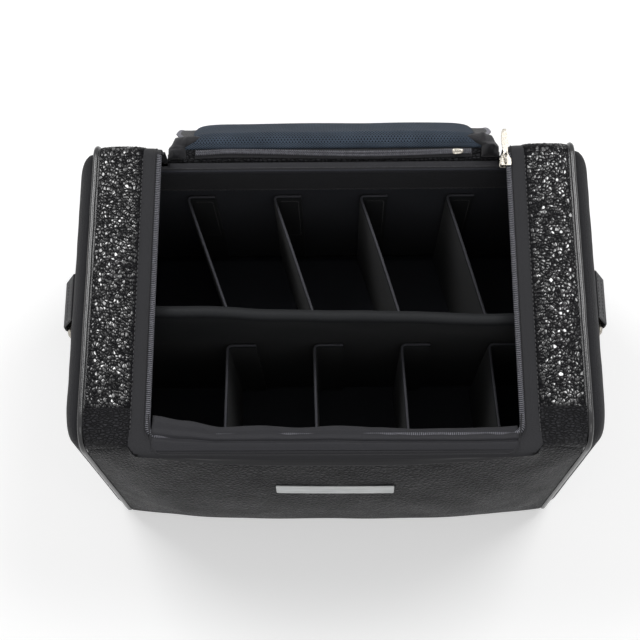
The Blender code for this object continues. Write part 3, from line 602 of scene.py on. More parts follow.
def backLeatherPoint(u, v):
    x = (2 * u - 1) * bag["half"]
    radius = bag["bottomRound"]
    if v < rear["foot"]:
        angle = v / rear["foot"] * math.pi / 2
        z = bag["clear"] + radius * (1 - math.cos(angle))
        y = bag["back"] - radius * (1 - math.sin(angle))
    else:
        share = (v - rear["foot"]) / (1 - rear["foot"])
        z = mixed(bag["clear"] + radius, rear["top"], share)
        y = bag["back"] + rear["bulge"] * math.sin(math.pi * share) * (1 - (abs(x) / bag["half"]) ** 4)
    y += rear["ripple"] * rough(x, z, 5, .05) * (1 - (abs(x) / bag["half"]) ** 6)
    return Vector((x, y, z))


backLeather = gridPiece("back_leather", 120, 80, backLeatherPoint, (.371, .225), (0, 1, 0), bag["skin"])
finishPiece(backLeather, "case", pebbledLeather, ("back_panel",))


base = {"front": -.1245, "back": .1085, "z": .0002, "ripple": .0003}


def basePoint(u, v):
    x = (2 * u - 1) * bag["half"]
    y = mixed(base["front"], base["back"], v)
    return Vector((x, y, base["z"] + base["ripple"] * abs(rough(x, y, 2, .04))))


baseLeather = gridPiece("base_leather", 60, 40, basePoint, (.371, .233), (0, 0, -1), bag["skin"])
finishPiece(baseLeather, "case", pebbledLeather, ("base_panel",))
print("shell leather made")


# end panels with their piping

outlineCorners = [((.122, .0011), .014), ((.122, .240), .012), ((-.122, .240), .024), ((-.138, .0011), .014)]


def endOutline(inset, step):
    # the rounded outline of an end, in (y, z), pulled in by a distance
    line = []
    count = len(outlineCorners)
    for at in range(count):
        corner = Vector(outlineCorners[at][0])
        radius = outlineCorners[at][1]
        before = (Vector(outlineCorners[at - 1][0]) - corner).normalized()
        after = (Vector(outlineCorners[(at + 1) % count][0]) - corner).normalized()
        half = before.angle(after) / 2
        middle = corner + (before + after).normalized() * radius / math.sin(half)
        start = corner + before * radius / math.tan(half)
        end = corner + after * radius / math.tan(half)
        first = (start - middle).normalized()
        last = (end - middle).normalized()
        for number in range(13):
            way = first.slerp(last, number / 12)
            line.append(middle + way * (radius - inset))
    return evenly([Vector((0, point.x, point.y)) for point in line], step, loop=True)


endPanel = {"centre": Vector((0, -.004, .12055)), "inset": .0041, "rise": .0172, "base": .1887, "power": 16,
            "fullness": .5, "crease": .0010, "sunk": .0022, "cloth": .0016}
endLine = endOutline(endPanel["inset"], .001)


def endEdge(angle):
    # the outline point that lies in a direction from the middle
    way = Vector((0, math.cos(angle), math.sin(angle)))
    return max(endLine, key=lambda point: (point - endPanel["centre"]).normalized().dot(way))


endTable = [endEdge(2 * math.pi * at / 360) for at in range(360)]


def endPoint(a, b):
    share = max(abs(a), abs(b))
    if share < 1e-6:
        return endPanel["centre"].copy(), 0
    turn = math.atan2(b * .92, a) % (2 * math.pi) / (2 * math.pi) * 360
    low = endTable[int(turn) % 360]
    edge = low.lerp(endTable[(int(turn) + 1) % 360], turn - int(turn))
    return endPanel["centre"].lerp(edge, share), share


def makeEndPanel(name, sign, replaced):
    def place(u, v):
        point, share = endPoint(2 * u - 1, 2 * v - 1)
        high = endPanel["rise"] * max(0, 1 - share ** endPanel["power"]) ** endPanel["fullness"]
        fold = rough(point.y, point.z * .35, sign, .02) + .6 * rough(point.y * .5, point.z, sign + 3, .045)
        high += endPanel["crease"] * fold * min(1, 4 * (1 - share))
        return Vector((sign * (endPanel["base"] - endPanel["sunk"] + high), point.y, point.z))
    panel = gridPiece(name, 120, 120, place, (.25, .24), (sign, 0, 0), endPanel["cloth"])
    finishPiece(panel, "case", endFabric, (replaced,))
    return panel


piping = {"x": .188, "radius": .0023, "inset": .0015, "step": .0024, "sides": 12, "wander": .00025,
          "flangeX": .1858, "flangeInset": .0011, "flangeHalf": .0012, "flangeThin": .0006}
for side, sign in bothSides:
    makeEndPanel(f"end_cloth_{side}", sign, f"end_panel_{side}")
    line = [Vector((sign * (piping["x"] + piping["wander"] * rough(p.y, p.z, sign, .02)), p.y, p.z))
            for p in endOutline(piping["inset"], piping["step"])]
    cord = tubePiece(f"piping_cord_{side}", line, piping["radius"], piping["sides"], loop=True)
    finishPiece(cord, "case", pipingVinyl, (f"piping_{side}",))
    # the flange that sews the piping to the shell
    flange = [Vector((sign * piping["flangeX"], p.y, p.z)) for p in endOutline(piping["flangeInset"], .003)]
    wide, thin = piping["flangeHalf"], piping["flangeThin"]
    flangePiece = sweepPiece(f"piping_flange_{side}",
                             [(p, Vector((1, 0, 0)), (p - endPanel["centre"]).normalized()) for p in flange],
                             [(-wide, -thin), (wide, -thin), (wide, thin), (-wide, thin)], loop=True)
    finishPiece(flangePiece, "case", pipingVinyl)
print("end panels and piping made")


# crinkled patent strips and the leather corner patches

strip = {"inner": .1496, "outer": .1856, "columns": 104, "rows": 700, "pebble": .0025, "height": .0006,
         "tilt": .34, "base": .2392, "turnRadius": .0112, "turnMiddle": (.110, .228), "end": .2083, "start": -.0955}


def stripLine():
    middle = strip["turnMiddle"]
    line = [(strip["start"], strip["base"])] + arc(middle, strip["turnRadius"], 90, 0, 12)
    line.append((middle[0] + strip["turnRadius"], strip["end"]))
    return [Vector((0, y, z)) for y, z in line]


def crinkleHeight(x, length, seed):
    # rounded pebbles, each tipped its own way, so each catches the light differently
    bend = Vector((x + .0010 * rough(x, length, seed, .008), length + .0010 * rough(x, length, seed + 9, .008), seed))
    spot = Vector((bend.x / strip["pebble"], bend.y / strip["pebble"] * .85, seed))
    distances, centres = noise.voronoi(spot)
    gap = distances[1] - distances[0]
    dome = 1 - (1 - min(1, gap / .42)) ** 2
    cell = centres[0]
    tipX = noise.noise(cell * 7.3)
    tipY = noise.noise(cell * 5.1 + Vector((3, 1, 4)))
    lean = (spot.x - cell.x) * tipX + (spot.y - cell.y) * tipY
    high = strip["height"] * dome * (.75 + .5 * noise.noise(cell * 3.7)) + strip["pebble"] * strip["tilt"] * lean * dome
    # the coat is kept off the grooves, so they render dark: painted shade between the pebbles
    lacquer = dome ** 3 * min(1, max(.08, .42 + 1.2 * noise.noise(cell * 9.1)))
    return high, lacquer


stripPath = evenly(stripLine(), .00035)


def makeStrip(name, sign, replaced):
    count = len(stripPath) - 1
    total = count * .00035
    lacquer = []

    def place(u, v):
        at = min(count - 1, int(v * count))
        point = onPath(stripPath, v * count)
        along = (stripPath[at + 1] - stripPath[at]).normalized()
        outward = Vector((0, -along.z, along.y))
        x = mixed(strip["inner"], strip["outer"], u)
        edge = min(1, 6 * min(u, 1 - u)) * min(1, 60 * min(v, 1 - v))
        pebble, gloss = crinkleHeight(sign * x, v * total, 3 + sign)
        # the coat is also kept off the edges, the inner edge most of all: a painted shadow line along the zip tape
        lacquer.append(gloss * edge * blendShare(.03, .12, u))
        high = pebble * (.35 + .65 * edge) + .0012 * math.sin(math.pi * u) ** .5 - .0004
        return Vector((sign * x, point.y, point.z)) + outward * high
    piece = gridPiece(name, strip["columns"], strip["rows"], place, (.034, total))
    piece.data.attributes.new("lacquer", "FLOAT", "POINT").data.foreach_set("value", lacquer)
    turnTowards(piece, (0, 0, 1))
    # a plain turned-down edge all round instead of a second crinkled face
    selectOnly(piece)
    bpy.ops.object.mode_set(mode="EDIT")
    bpy.ops.mesh.select_all(action="DESELECT")
    bpy.ops.mesh.select_mode(type="EDGE")
    bpy.ops.mesh.select_non_manifold()
    bpy.ops.mesh.extrude_edges_move(TRANSFORM_OT_translate={"value": (0, 0, -.0014)})
    bpy.ops.object.mode_set(mode="OBJECT")
    return finishPiece(piece, "case", glitterPatent, (replaced,))


patch = {"seamY": -.0945, "inner": .1478, "outer": .1856, "power": 2.3, "wrinkle": .0007}


def makePatch(name, sign, replaced):
    def place(u, v):
        far = mixed(patch["inner"], patch["outer"], u)
        edgeY, edgeZ = shoulderEdge(max(far, shoulder["cornerX"] + .0001))
        angle = mixed(-.05, 1, v) * math.pi / 2
        cosine = max(0, math.cos(angle)) ** (2 / patch["power"])
        sine = math.copysign(abs(math.sin(angle)) ** (2 / patch["power"]), angle)
        y = patch["seamY"] - (patch["seamY"] - edgeY + .0012) * cosine
        z = edgeZ + (.2396 - edgeZ) * max(0, sine)
        if v < .06:  # the foot of the patch tucks into the crease
            y += .0035 * (1 - v / .06)
            z = edgeZ - .0006
        pucker = rough(sign * far, y * .4, 7, .0045) * (1 - blendShare(.15, .6, v)) + .5 * rough(sign * far, y, 8, .012)
        z += patch["wrinkle"] * pucker * min(1, 8 * (1 - u)) + .0008 * math.sin(math.pi * u) * v
        if u < .1:  # the inner edge goes under the zip tape
            z -= .0014 * (1 - u / .1)
        return Vector((sign * far, y, z))
    piece = gridPiece(name, 60, 60, place, (.038, .045), (0, -.3, 1), .0012)
    return finishPiece(piece, "case", pebbledLeather, (replaced,))


for side, sign in bothSides:
    makeStrip(f"patent_strip_{side}", sign, f"glitter_strip_{side}")
    makePatch(f"corner_leather_{side}", sign, f"corner_patch_{side}")
print("patent strips and corner patches made")


# the mouth: zip tape, coil, front binding and inner facing

mouth = {"coilX": .1378, "coilY": -.1155, "corner": .008, "z": .23845, "backY": .1105, "bend": .0095, "low": .2083}


def mouthLine(halfX, frontY, corner, backY, z, step):
    flat = [(-halfX, backY), (-halfX, frontY + corner)]
    flat += arc((-halfX + corner, frontY + corner), corner, 180, 270, 10)
    flat += arc((halfX - corner, frontY + corner), corner, 270, 360, 10)
    flat += [(halfX, frontY + corner), (halfX, backY)]
    return evenly([Vector((x, y, z)) for x, y in flat], step)


def outwardFrames(line):
    frames = []
    for at, point in enumerate(line):
        frames.append((point, alongAt(line, at).cross(up).normalized(), up))
    return frames


def coilPiece(name, line, upAt, coil):
    # a flattened spiral of one round thread
    turns = round(coil["length"] / coil["pitch"])
    steps = turns * coil["points"]
    path = evenly(line, coil["length"] / steps)
    spiral = []
    for at, point in enumerate(path):
        rise = upAt(point)
        side = alongAt(path, at).cross(rise).normalized()
        angle = 2 * math.pi * at / coil["points"]
        spiral.append(point + side * coil["across"] * math.cos(angle) + rise * coil["high"] * math.sin(angle))
    return tubePiece(name, spiral, coil["wire"], coil["sides"])


def pathLength(line):
    return sum((line[at] - line[at - 1]).length for at in range(1, len(line)))


coilLine = mouthLine(mouth["coilX"], mouth["coilY"], mouth["corner"], mouth["backY"], mouth["z"], .001)
coilSize = {"pitch": .0015, "points": 8, "sides": 5, "across": .0018, "high": .0010, "wire": .00042,
            "length": pathLength(coilLine)}
bodyCoil = coilPiece("mouth_zip_coil", coilLine, lambda point: up, coilSize)
finishPiece(bodyCoil, "case", highlightedCoil, ("zip_coil",))

# a dark strip under the coil where the tape's sewn edge lies: painted shade between the ribs of the coil
ribShadePath = outwardFrames(evenly(coilLine, .002))
ribShadeStrip = sweepPiece("mouth_coil_rib_shade", ribShadePath, [(-.0017, -.0002), (-.0012, .0003), (.0012, .0005), (.0017, .0004),
                                                     (.0017, -.0004), (-.0012, -.0005)])
finishPiece(ribShadeStrip, "case", shadedNylon)

tapeProfile = [(-.0012, -.0011), (-.0008, -.0004), (.0023, -.0002), (.0029, .0008), (.0034, .0004), (.0060, .0006),
               (.0096, .0007), (.0124, .0008), (.0135, .0003), (.0136, -.0006), (.0090, -.0008), (.0020, -.0010)]


def tapeFrames():
    # along the sides and front, with the ends turned down over the back edge
    middleY, middleZ = mouth["backY"] - .0005, mouth["z"] - mouth["bend"]
    outward = Vector((-1, 0, 0))
    back = [(Vector((-mouth["coilX"], middleY + mouth["bend"], mixed(mouth["low"], middleZ, at / 8))), outward,
             Vector((0, 1, 0))) for at in range(8)]
    for y, z in arc((middleY, middleZ), mouth["bend"], 0, 84, 8):
        back.append((Vector((-mouth["coilX"], y, z)), outward, Vector((0, y - middleY, z - middleZ)).normalized()))
    level = outwardFrames(mouthLine(mouth["coilX"], mouth["coilY"], mouth["corner"], mouth["backY"] - .0006,
                                    mouth["z"], .0022))
    return back + level + [(Vector((-p.x, p.y, p.z)), -side, way) for p, side, way in reversed(back)]


def widened(frames):
    # the tape's outer edge turns a sharper corner than its coil
    result = []
    for point, side, way in frames:
        diagonal = abs(side.x * side.y) * 2
        result.append((point, side * (1 + .42 * diagonal ** 2), way))
    return result


sideTape = sweepPiece("mouth_zip_tape", widened(tapeFrames()), tapeProfile)
finishPiece(sideTape, "case", zipTapeCloth, ("zip_tape",), 50)

binding = {"half": .1440, "lift": .0006, "bottom": .2255, "ridgeRadius": .0006}


def bindingPoint(u, v):
    # a smooth band from the tape's outer edge down over the top of the front leather
    x = (2 * u - 1) * binding["half"]
    lift = binding["lift"] * blendShare(.0, .05, min(u, 1 - u))
    innerY = -.1285 + .0012 * (abs(x) / binding["half"]) ** 2
    face = [(innerY, .2387), (innerY - .0022, .2392), (innerY - .0040, .2386),
            (frontY(x, .2345) - .0001, .2352), (frontY(x, .2310) - .0004, .2312),
            (frontY(x, binding["bottom"]) + .0022, binding["bottom"])]
    spot = v * (len(face) - 1)
    at = min(len(face) - 2, int(spot))
    share = blendShare(0, 1, spot - at)
    y = mixed(face[at][0], face[at + 1][0], share)
    z = mixed(face[at][1], face[at + 1][1], share)
    return Vector((x, y - lift + .0003 * rough(x, z, 11, .02), z + lift * .5))


frontBinding = gridPiece("front_edge_band", 120, 20, bindingPoint, (.288, .014), (0, -1, 1), .0011)
finishPiece(frontBinding, "case", bandCover, ("front_binding",))

# the folded-in ends of the tape, between the case and the turning root of the lid
tapeEnds = {"inner": .1353, "outer": .1392, "low": .2062, "high": .2372, "y": .1186, "lean": .0065, "ripple": .0007}
for side, sign in bothSides:
    def tapeEndPoint(u, v, sign=sign):
        x = mixed(tapeEnds["inner"], tapeEnds["outer"], u)
        z = mixed(tapeEnds["low"], tapeEnds["high"], v)
        y = tapeEnds["y"] - tapeEnds["lean"] * blendShare(.55, 1, v)
        return Vector((sign * x, y + tapeEnds["ripple"] * rough(x, z, sign + 13, .005), z))
    tapeEnd = gridPiece(f"tape_end_{side}", 8, 24, tapeEndPoint, (.004, .031), (0, -1, 0), .0012)
    finishPiece(tapeEnd, "case", zipTapeCloth)

ridge = [(-.1374, -.100), (-.1362, -.1120), (-.1335, -.1235), (-.1305, -.1285), (-.1270, -.1298)]
ridge += [(x / 100 * .127, -.1298 - .0006 * (1 - (x / 100) ** 2)) for x in range(-96, 97, 8)]
ridge += [(-x, y) for x, y in reversed(ridge[:5])]
ridgeLine = evenly([Vector((x, y, .2394)) for x, y in ridge], .0015)
ridgeCord = tubePiece("front_edge_ridge", ridgeLine, binding["ridgeRadius"], 8)
finishPiece(ridgeCord, "case", zipTapeCloth)

facing = {"half": .1345, "front": -.1270, "wall": .0009, "crease": .38,
          "edge": [(-1, -.0995), (-.82, -.1035), (-.62, -.1085), (-.42, -.1075), (-.18, -.1092), (.02, -.1078),
                   (.22, -.1092), (.45, -.1105), (.70, -.1100), (.88, -.1095), (1, -.1085)]}


def facingEdge(share):
    points = facing["edge"]
    for at in range(len(points) - 1):
        if share <= points[at + 1][0]:
            return mixed(points[at][1], points[at + 1][1], blendShare(points[at][0], points[at + 1][0], share))
    return points[-1][1]


def facingPoint(u, v):
    share = 2 * u - 1
    x = share * facing["half"]
    back = facingEdge(share)
    y = mixed(facing["front"], back, v)
    crease = math.exp(-((v - facing["crease"] - .05 * rough(x, 0, 3, .04)) / .055) ** 2)
    rest = .2392 + .0014 * math.sin(math.pi * min(1, v / .8)) - .0030 * max(0, v - .62) / .38
    z = rest - .0017 * crease + .0009 * rough(x, y, 12, .012) * v
    return Vector((x, y, z + .0004 * (1 - (x / facing["half"]) ** 8)))


frontFacing = gridPiece("front_inner_facing", 140, 40, facingPoint, (.269, .018), (0, 0, 1), facing["wall"])
finishPiece(frontFacing, "case", facingCloth)
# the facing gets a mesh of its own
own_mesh(frontFacing)
print("mouth zip made")


# linings

lining = {"wall": .0009, "ripple": .0005, "half": .1758, "low": .0075, "backY": .1106, "backTop": .2070,
          "frontY": -.1134, "frontTop": .2365, "floorZ": .0086, "floorRipple": .0003,
          "floorReach": (-.1128, .1100), "endX": .1764, "endTop": .2352, "endReach": (-.1148, .1120)}


def lineWall(name, cells, place, size, facing, replaced):
    piece = gridPiece(name, *cells, place, size, facing, lining["wall"])
    finishPiece(piece, "case", liningCloth, (replaced,))


def softly(u, v):
    return math.sin(math.pi * u) ** .4 * math.sin(math.pi * min(1, max(0, v))) ** .4


for side, wallY, top, seed, reach, facing in (("back", lining["backY"], lining["backTop"], 21, .2, (0, -1, 0)),
                                              ("front", lining["frontY"], lining["frontTop"], 22, .23, (0, 1, 0))):
    def wallPoint(u, v, wallY=wallY, top=top, seed=seed):
        x = (2 * u - 1) * lining["half"]
        z = mixed(lining["low"], top, v)
        return Vector((x, wallY + lining["ripple"] * rough(x, z * .6, seed, .035) * softly(u, v), z))
    lineWall(f"{side}_wall_lining", (70, 40), wallPoint, (.35, reach), facing, f"{side}_lining")


def floorPoint(u, v):
    x = (2 * u - 1) * lining["half"]
    y = mixed(*lining["floorReach"], v)
    return Vector((x, y, lining["floorZ"] + lining["floorRipple"] * rough(x, y, 23, .03)))


lineWall("floor_cloth", (60, 40), floorPoint, (.35, .22), (0, 0, 1), "floor_lining")
for side, sign in bothSides:
    def endLiningPoint(u, v, sign=sign):
        y = mixed(*lining["endReach"], u)
        z = mixed(lining["low"], lining["endTop"], v)
        return Vector((sign * (lining["endX"] + lining["ripple"] * rough(y, z, 24 + sign, .035) * softly(u, v)), y, z))
    lineWall(f"end_wall_lining_{side}", (50, 50), endLiningPoint, (.226, .228), (-sign, 0, 0), f"end_lining_{side}")

backBand = {"path": [Vector(spot) for spot in ((.1096, .1725), (.1094, .2030), (.1102, .2058), (.1128, .2078),
                                               (.1154, .2085), (.1176, .2086))],
            "rows": (0, .56, .66, .78, .9, 1), "lowHalf": .1745, "highHalf": .1356, "wall": .0009,
            "stitch": {"pitch": .0034, "length": .0026, "radius": .00035, "lift": .0002}}


def backBandPoint(u, v):
    x = (2 * u - 1) * mixed(backBand["lowHalf"], backBand["highHalf"], blendShare(.62, .85, v))
    rows = backBand["rows"]
    at = max(number for number in range(len(rows) - 1) if v >= rows[number])
    y, z = onPath(backBand["path"], at + (v - rows[at]) / (rows[at + 1] - rows[at]))
    return Vector((x, y - .0006 * max(0, rough(x, z * .5, 31, .03)) * (1 - v), z))


bandCloth = gridPiece("back_facing_band", 110, 30, backBandPoint, (.35, .05), (0, -1, .5), backBand["wall"])
finishPiece(bandCloth, "case", facingCloth)
seamLine = [Vector((x / 1000, .1090, .1736)) for x in range(-172, 173, 4)]
bandStitches = stitchRow("back_facing_stitches", seamLine, lambda point: Vector((0, -1, 0)), backBand["stitch"])
finishPiece(bandStitches, "case", thread)
print("linings made")


# dividers

centre = {"half": .1756, "front": -.0218, "back": -.0122, "low": .0093, "top": .2236, "lean": .0055, "sag": .0012}


def centrePoint(u, v):
    x = (2 * u - 1) * centre["half"]
    thick = (centre["back"] - centre["front"]) / 2
    middleY = (centre["back"] + centre["front"]) / 2
    top = centre["top"] - centre["sag"] * (1 - (x / centre["half"]) ** 2) + .0006 * rough(x, 0, 41, .03)
    height = top - thick - centre["low"]
    spot = v * (2 * height + math.pi * thick + 2 * thick)
    if spot < height:
        y, z = middleY - thick, centre["low"] + spot
    elif spot < height + math.pi * thick:
        angle = (spot - height) / thick
        y, z = middleY - thick * math.cos(angle), top - thick + thick * .9 * math.sin(angle)
    elif spot < 2 * height + math.pi * thick:
        y, z = middleY + thick, top - thick - (spot - height - math.pi * thick)
    else:
        y, z = middleY + thick - (spot - 2 * height - math.pi * thick), centre["low"]
    free = blendShare(.162, .222, z)
    y -= centre["lean"] * x / centre["half"] * free
    y += .0012 * rough(x, z, 42, .04) * free
    return Vector((x, y, z))


centreDivider = closeShell(gridPiece("centre_pad", 110, 120, centrePoint, (.35, .45)))
finishPiece(centreDivider, "case", shadedNylon, ("centre_divider",))

cross = {"low": .0094, "top": .1592, "thick": .0026, "tab": .0235, "turn": .004, "bow": .0009, "step": .0022,
         "tapeDrop": .0032, "stitch": {"pitch": .0032, "length": .0025, "radius": .00033, "lift": .0001}}


def crossLine(near, far, nearTab, farTab):
    # plan view: a tab along the near wall, the panel, a tab along the far wall
    nearPoint, farPoint = Vector(near), Vector(far)
    line = [nearPoint + Vector((nearTab, 0)), nearPoint, farPoint, farPoint + Vector((farTab, 0))]
    smoothed = [line[0]]
    for at in (1, 2):
        before = (line[at - 1] - line[at]).normalized() * cross["turn"]
        after = (line[at + 1] - line[at]).normalized() * cross["turn"]
        for number in range(7):
            share = number / 6
            smoothed.append(line[at] + before * (1 - share) ** 2 + after * share ** 2)
    smoothed.append(line[3])
    return evenly([Vector((point.x, point.y, 0)) for point in smoothed], cross["step"])


def crossBow(seed, z, share):
    return cross["bow"] * math.sin(math.pi * share) ** 2 * rough(seed * 3, z, share * .1, .11) * 1.5


def makeCross(name, near, far, nearTab, farTab, seed):
    line = crossLine(near, far, nearTab, farTab)
    count = len(line)
    rise = [(cross["thick"] / 2, mixed(cross["low"], cross["top"], at / 45)) for at in range(46)]
    rise.append((cross["thick"] * .35, cross["top"] + .0006))
    section = rise + [(-across, z) for across, z in reversed(rise)]

    def place(u, v):
        at = round(u * (count - 1))
        point = line[at]
        along = alongAt(line, at)
        side = Vector((along.y, -along.x, 0))
        across, z = section[round(v * len(section)) % len(section)]
        return point + side * (across + crossBow(seed, z, u)) + Vector((0, 0, z))
    label = name.replace("divider", "cross_pad")
    panel = closeShell(gridPiece(label, count - 1, len(section), place, (count * cross["step"], .305)))
    finishPiece(panel, name, shadedNylon, (name,), 60)
    edge = []
    for at, point in enumerate(line):
        along = alongAt(line, at)
        side = Vector((along.y, -along.x, 0))
        shift = side * crossBow(seed, cross["top"], at / (count - 1))
        edge.append((point + shift + up * (cross["top"] - cross["tapeDrop"]), side, up))
    tape = [(-.0010, .0022), (-.0010, .0039), (-.0005, .0044), (.0005, .0044), (.0010, .0039), (.0010, .0022)]
    trim = sweepPiece(f"{label}_edge_tape", edge, tape)
    finishPiece(trim, name, litEdgeCloth, (), 60)
    inward = 1 if far[1] < 0 else -1
    box = [(far[0] + farTab * share, cross["top"] - down)
           for share, down in ((.25, .007), (.88, .007), (.88, .085), (.25, .085))]
    path = [Vector((x, far[1] + inward * .0014, z)) for x, z in box]
    row = stitchRow(f"{label}_tab_stitches", evenly(path, .003), lambda point: Vector((0, inward, 0)),
                    cross["stitch"])
    finishPiece(row, name, thread)


# each row's near and far ends as (first x, spacing, y), the way its tabs turn and its noise seed
crossRows = {"back": ((-.083, .0702, -.0102), (-.125, .0737, .1085), -1, 50),
             "front": ((-.088, .0715, -.0238), (-.088, .0737, -.1113), 1, 60)}
for number in range(4):
    for row, (near, far, way, seed) in crossRows.items():
        ends = [(x + gap * number, y) for x, gap, y in (near, far)]
        makeCross(f"divider_{row}_{number + 1}", *ends, way * cross["tab"], -way * cross["tab"], seed + number)
print("dividers made")


# the lid

hinges = [Vector((.1195, .210)), Vector((.140079, .217490)), Vector((.147635, .212769))]
lid = {"root": .0219, "corner": .00891, "angles": (20, -32, -66), "ease": .0036,
       "coverHalf": .1342, "padRootHalf": .1285, "padHalf": .1130, "padPanelHalf": .1185,
       "foldHalf": .1295, "droop": .0065, "cover": .0012, "padHigh": .0080,
       "padStart": .0100, "coverEnd": .2409, "sag": (-.0060, -.0055)}


def lidAngle(s):
    first, second = lid["root"], lid["root"] + lid["corner"]
    ease = lid["ease"]
    angle = mixed(lid["angles"][0], lid["angles"][1], blendShare(first - ease, first + ease, s))
    return math.radians(mixed(angle, lid["angles"][2], blendShare(second - ease, second + ease, s)))


lidTable = [hinges[0].copy()]
lidStep = .0002
for at in range(1400):
    angle = lidAngle((at + .5) * lidStep)
    lidTable.append(lidTable[-1] + Vector((math.cos(angle), math.sin(angle))) * lidStep)
# the easing shortens the way round the bends, so the panel's line is put back on its hinge
wanted = hinges[2] + Vector((math.cos(math.radians(-66)), math.sin(math.radians(-66)))) * .05
found = lidTable[round((lid["root"] + lid["corner"] + .05) / lidStep)]
slip = wanted - found
for at in range(len(lidTable)):
    along = at * lidStep
    lidTable[at] += slip * blendShare(lid["root"] - .004, lid["root"] + lid["corner"] + .004, along)
    lidTable[at] += Vector(lid["sag"]) * blendShare(.004, .024, along) * (1 - blendShare(.040, .100, along))


def lidPoint(x, s, h):
    middle = onPath(lidTable, max(0, s) / lidStep)
    angle = lidAngle(s)
    if s < 0:
        middle = hinges[0] + Vector((math.cos(angle), math.sin(angle))) * s
    return Vector((x, middle.x - math.sin(angle) * h, middle.y + math.cos(angle) * h))


def padHalfAt(s):
    # wide beside the pocket zip, drawn in over the fold, wider again on the panel
    root = mixed(lid["padRootHalf"], lid["padHalf"], blendShare(.012, .030, s))
    return mixed(root, lid["padPanelHalf"], blendShare(.036, .06, s))


def coverHalfAt(s):
    root = mixed(lid["coverHalf"], lid["foldHalf"], blendShare(.012, .030, s))
    return mixed(root, lid["padPanelHalf"] + .001, blendShare(.036, .06, s))


def padHeight(x, s):
    half = padHalfAt(s)
    side = max(0, 1 - (abs(x) / half) ** mixed(5, 10, blendShare(.04, .08, s))) ** .5
    start = max(0, 1 - (1 - min(1, (s - lid["padStart"]) / .0065)) ** 2.4) ** .5
    end = max(0, 1 - (1 - min(1, max(0, (lid["coverEnd"] - .001 - s)) / .008)) ** 2.4) ** .5
    swell = mixed(.45, .75, blendShare(.03, .12, s)) * (1 + .12 * rough(x, s, 71, .05))
    return .0013 + (lid["padHigh"] - .0013) * side * start * end * swell


def padShell(name, start, end, columns):
    rows = 96

    def place(u, v):
        s = mixed(start, end, u)
        half = padHalfAt(s)
        if v < .8:
            x = -half * math.cos(math.pi * v / .8)
            return lidPoint(x, s, padHeight(x, s))
        x = half * math.cos(math.pi * (v - .8) / .2)
        return lidPoint(x, s, .00125)
    piece = gridPiece(name, columns, rows, place, (end - start, .29))
    for corner, loop in zip(piece.data.uv_layers.active.data, piece.data.loops):
        spot = piece.data.vertices[loop.vertex_index].co
        corner.uv = (spot.x, corner.uv[0] + start)
    return closeShell(piece)


def coverShell(name, start, end, columns, low, high):
    def place(u, v):
        s = mixed(start, end, u)
        x = (2 * v - 1) * coverHalfAt(s)
        slack = blendShare(.008, .020, s) * (1 - blendShare(.036, .060, s))
        return lidPoint(x, s, high - lid["droop"] * slack * max(0, (abs(x) - .106) / .0235) ** 2)
    piece = gridPiece(name, columns, 60, place, (end - start, .24))
    turnTowards(piece, lidPoint(0, (start + end) / 2, 1) - lidPoint(0, (start + end) / 2, 0))
    applyModifier(piece, "SOLIDIFY", thickness=high - low, offset=-1)
    return piece


folds = (.0183, lid["root"] + lid["corner"] / 2, .0349)
coverEnds = (.0040, *folds, lid["coverEnd"])
padEnds = (lid["padStart"] + .0001, *folds, lid["coverEnd"] - .0012)
stretches = [("lid_root_{}", "lid_root_{}", ("lid_root",)),
             ("lid_fold_{}_1", "lid_corner_{}", ("lid_root", "lid_corner")),
             ("lid_fold_{}_2", None, ("lid_corner", "lid_panel")), ("lid_panel_{}", "lid_{}", ("lid_panel",))]
for kind, ends, columns, node in (("leather", coverEnds, (10, 14, 14, 90), "cover"),
                                  ("pad", padEnds, (14, 14, 14, 120), "lining")):
    for at, (label, stoodFor, bodies) in enumerate(stretches):
        start, end = ends[at], ends[at + 1]
        body = bodies[0] if len(bodies) == 1 else None
        replaced = (stoodFor.format(node),) if stoodFor else ()
        if kind == "leather":
            piece = coverShell(label.format(kind), start, end, columns[at], -lid["cover"], lid["cover"])
            finishPiece(piece, body, pebbledLeather, replaced)
        else:
            piece = padShell(label.format(kind), start, end, columns[at])
            finishPiece(piece, body, spacerMesh, replaced)
        if not body:
            tuple(lidPoint(0, start, 0))
            tuple(lidPoint(0, end, 0))
            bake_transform(piece)


def hingeFoldPoint(u, v):
    # the strip that turns with the lid at the back edge of the case
    x = (2 * v - 1) * .1352
    path = [Vector((x, .1190, .2072)), Vector((x, .1191, .2086)), Vector((x, .1197, .2099)), lidPoint(x, .0022, 0),
            lidPoint(x, .0046, 0)]
    return onPath(path, u * (len(path) - 1))


hingeFold = gridPiece("lid_hinge_fold", 12, 60, hingeFoldPoint, (.008, .259), (0, -1, 1))
applyModifier(hingeFold, "SOLIDIFY", thickness=.0020, offset=0)
finishPiece(hingeFold, None, pebbledLeather)
tuple(lidPoint(0, .0044, 0))
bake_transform(hingeFold)

rumple = {"outer": .1346, "outerEnd": .1300, "end": .0270, "rise": .0040, "crumple": .0050,
          "extra": (.9, 1.5)}
for (side, sign), extra in zip(bothSides, rumple["extra"]):
    def rumplePoint(u, v, sign=sign, extra=extra):
        s = mixed(.0006, rumple["end"], v)
        outer = mixed(rumple["outer"], rumple["outerEnd"], blendShare(.010, rumple["end"], s))
        far = mixed(padHalfAt(s) - .008, outer, u)
        free = math.sin(math.pi * u) ** .6 * math.sin(math.pi * v) ** .5
        fold = .5 + rough(far * .8, s * .5, sign + 4, .009) + .45 * rough(far, s, sign + 6, .0045)
        high = .0014 + free * extra * (rumple["rise"] + rumple["crumple"] * fold)
        return lidPoint(sign * (far + .0016 * free * rough(far, s, 5, .008)), s, max(.0013, high))
    piece = gridPiece(f"lid_side_tape_{side}", 36, 36, rumplePoint, (.0216, .021), (0, 0, 1), .0009)
    finishPiece(piece, "lid_root", zipTapeCloth)

# the zip of the lid: tape and coil on three sides of the panel
lidZip = {"half": .1343, "start": .0130, "end": .2254, "corner": .008, "coilIn": .0015, "tapeIn": .0026,
          "reach": .030, "drawnIn": .006}


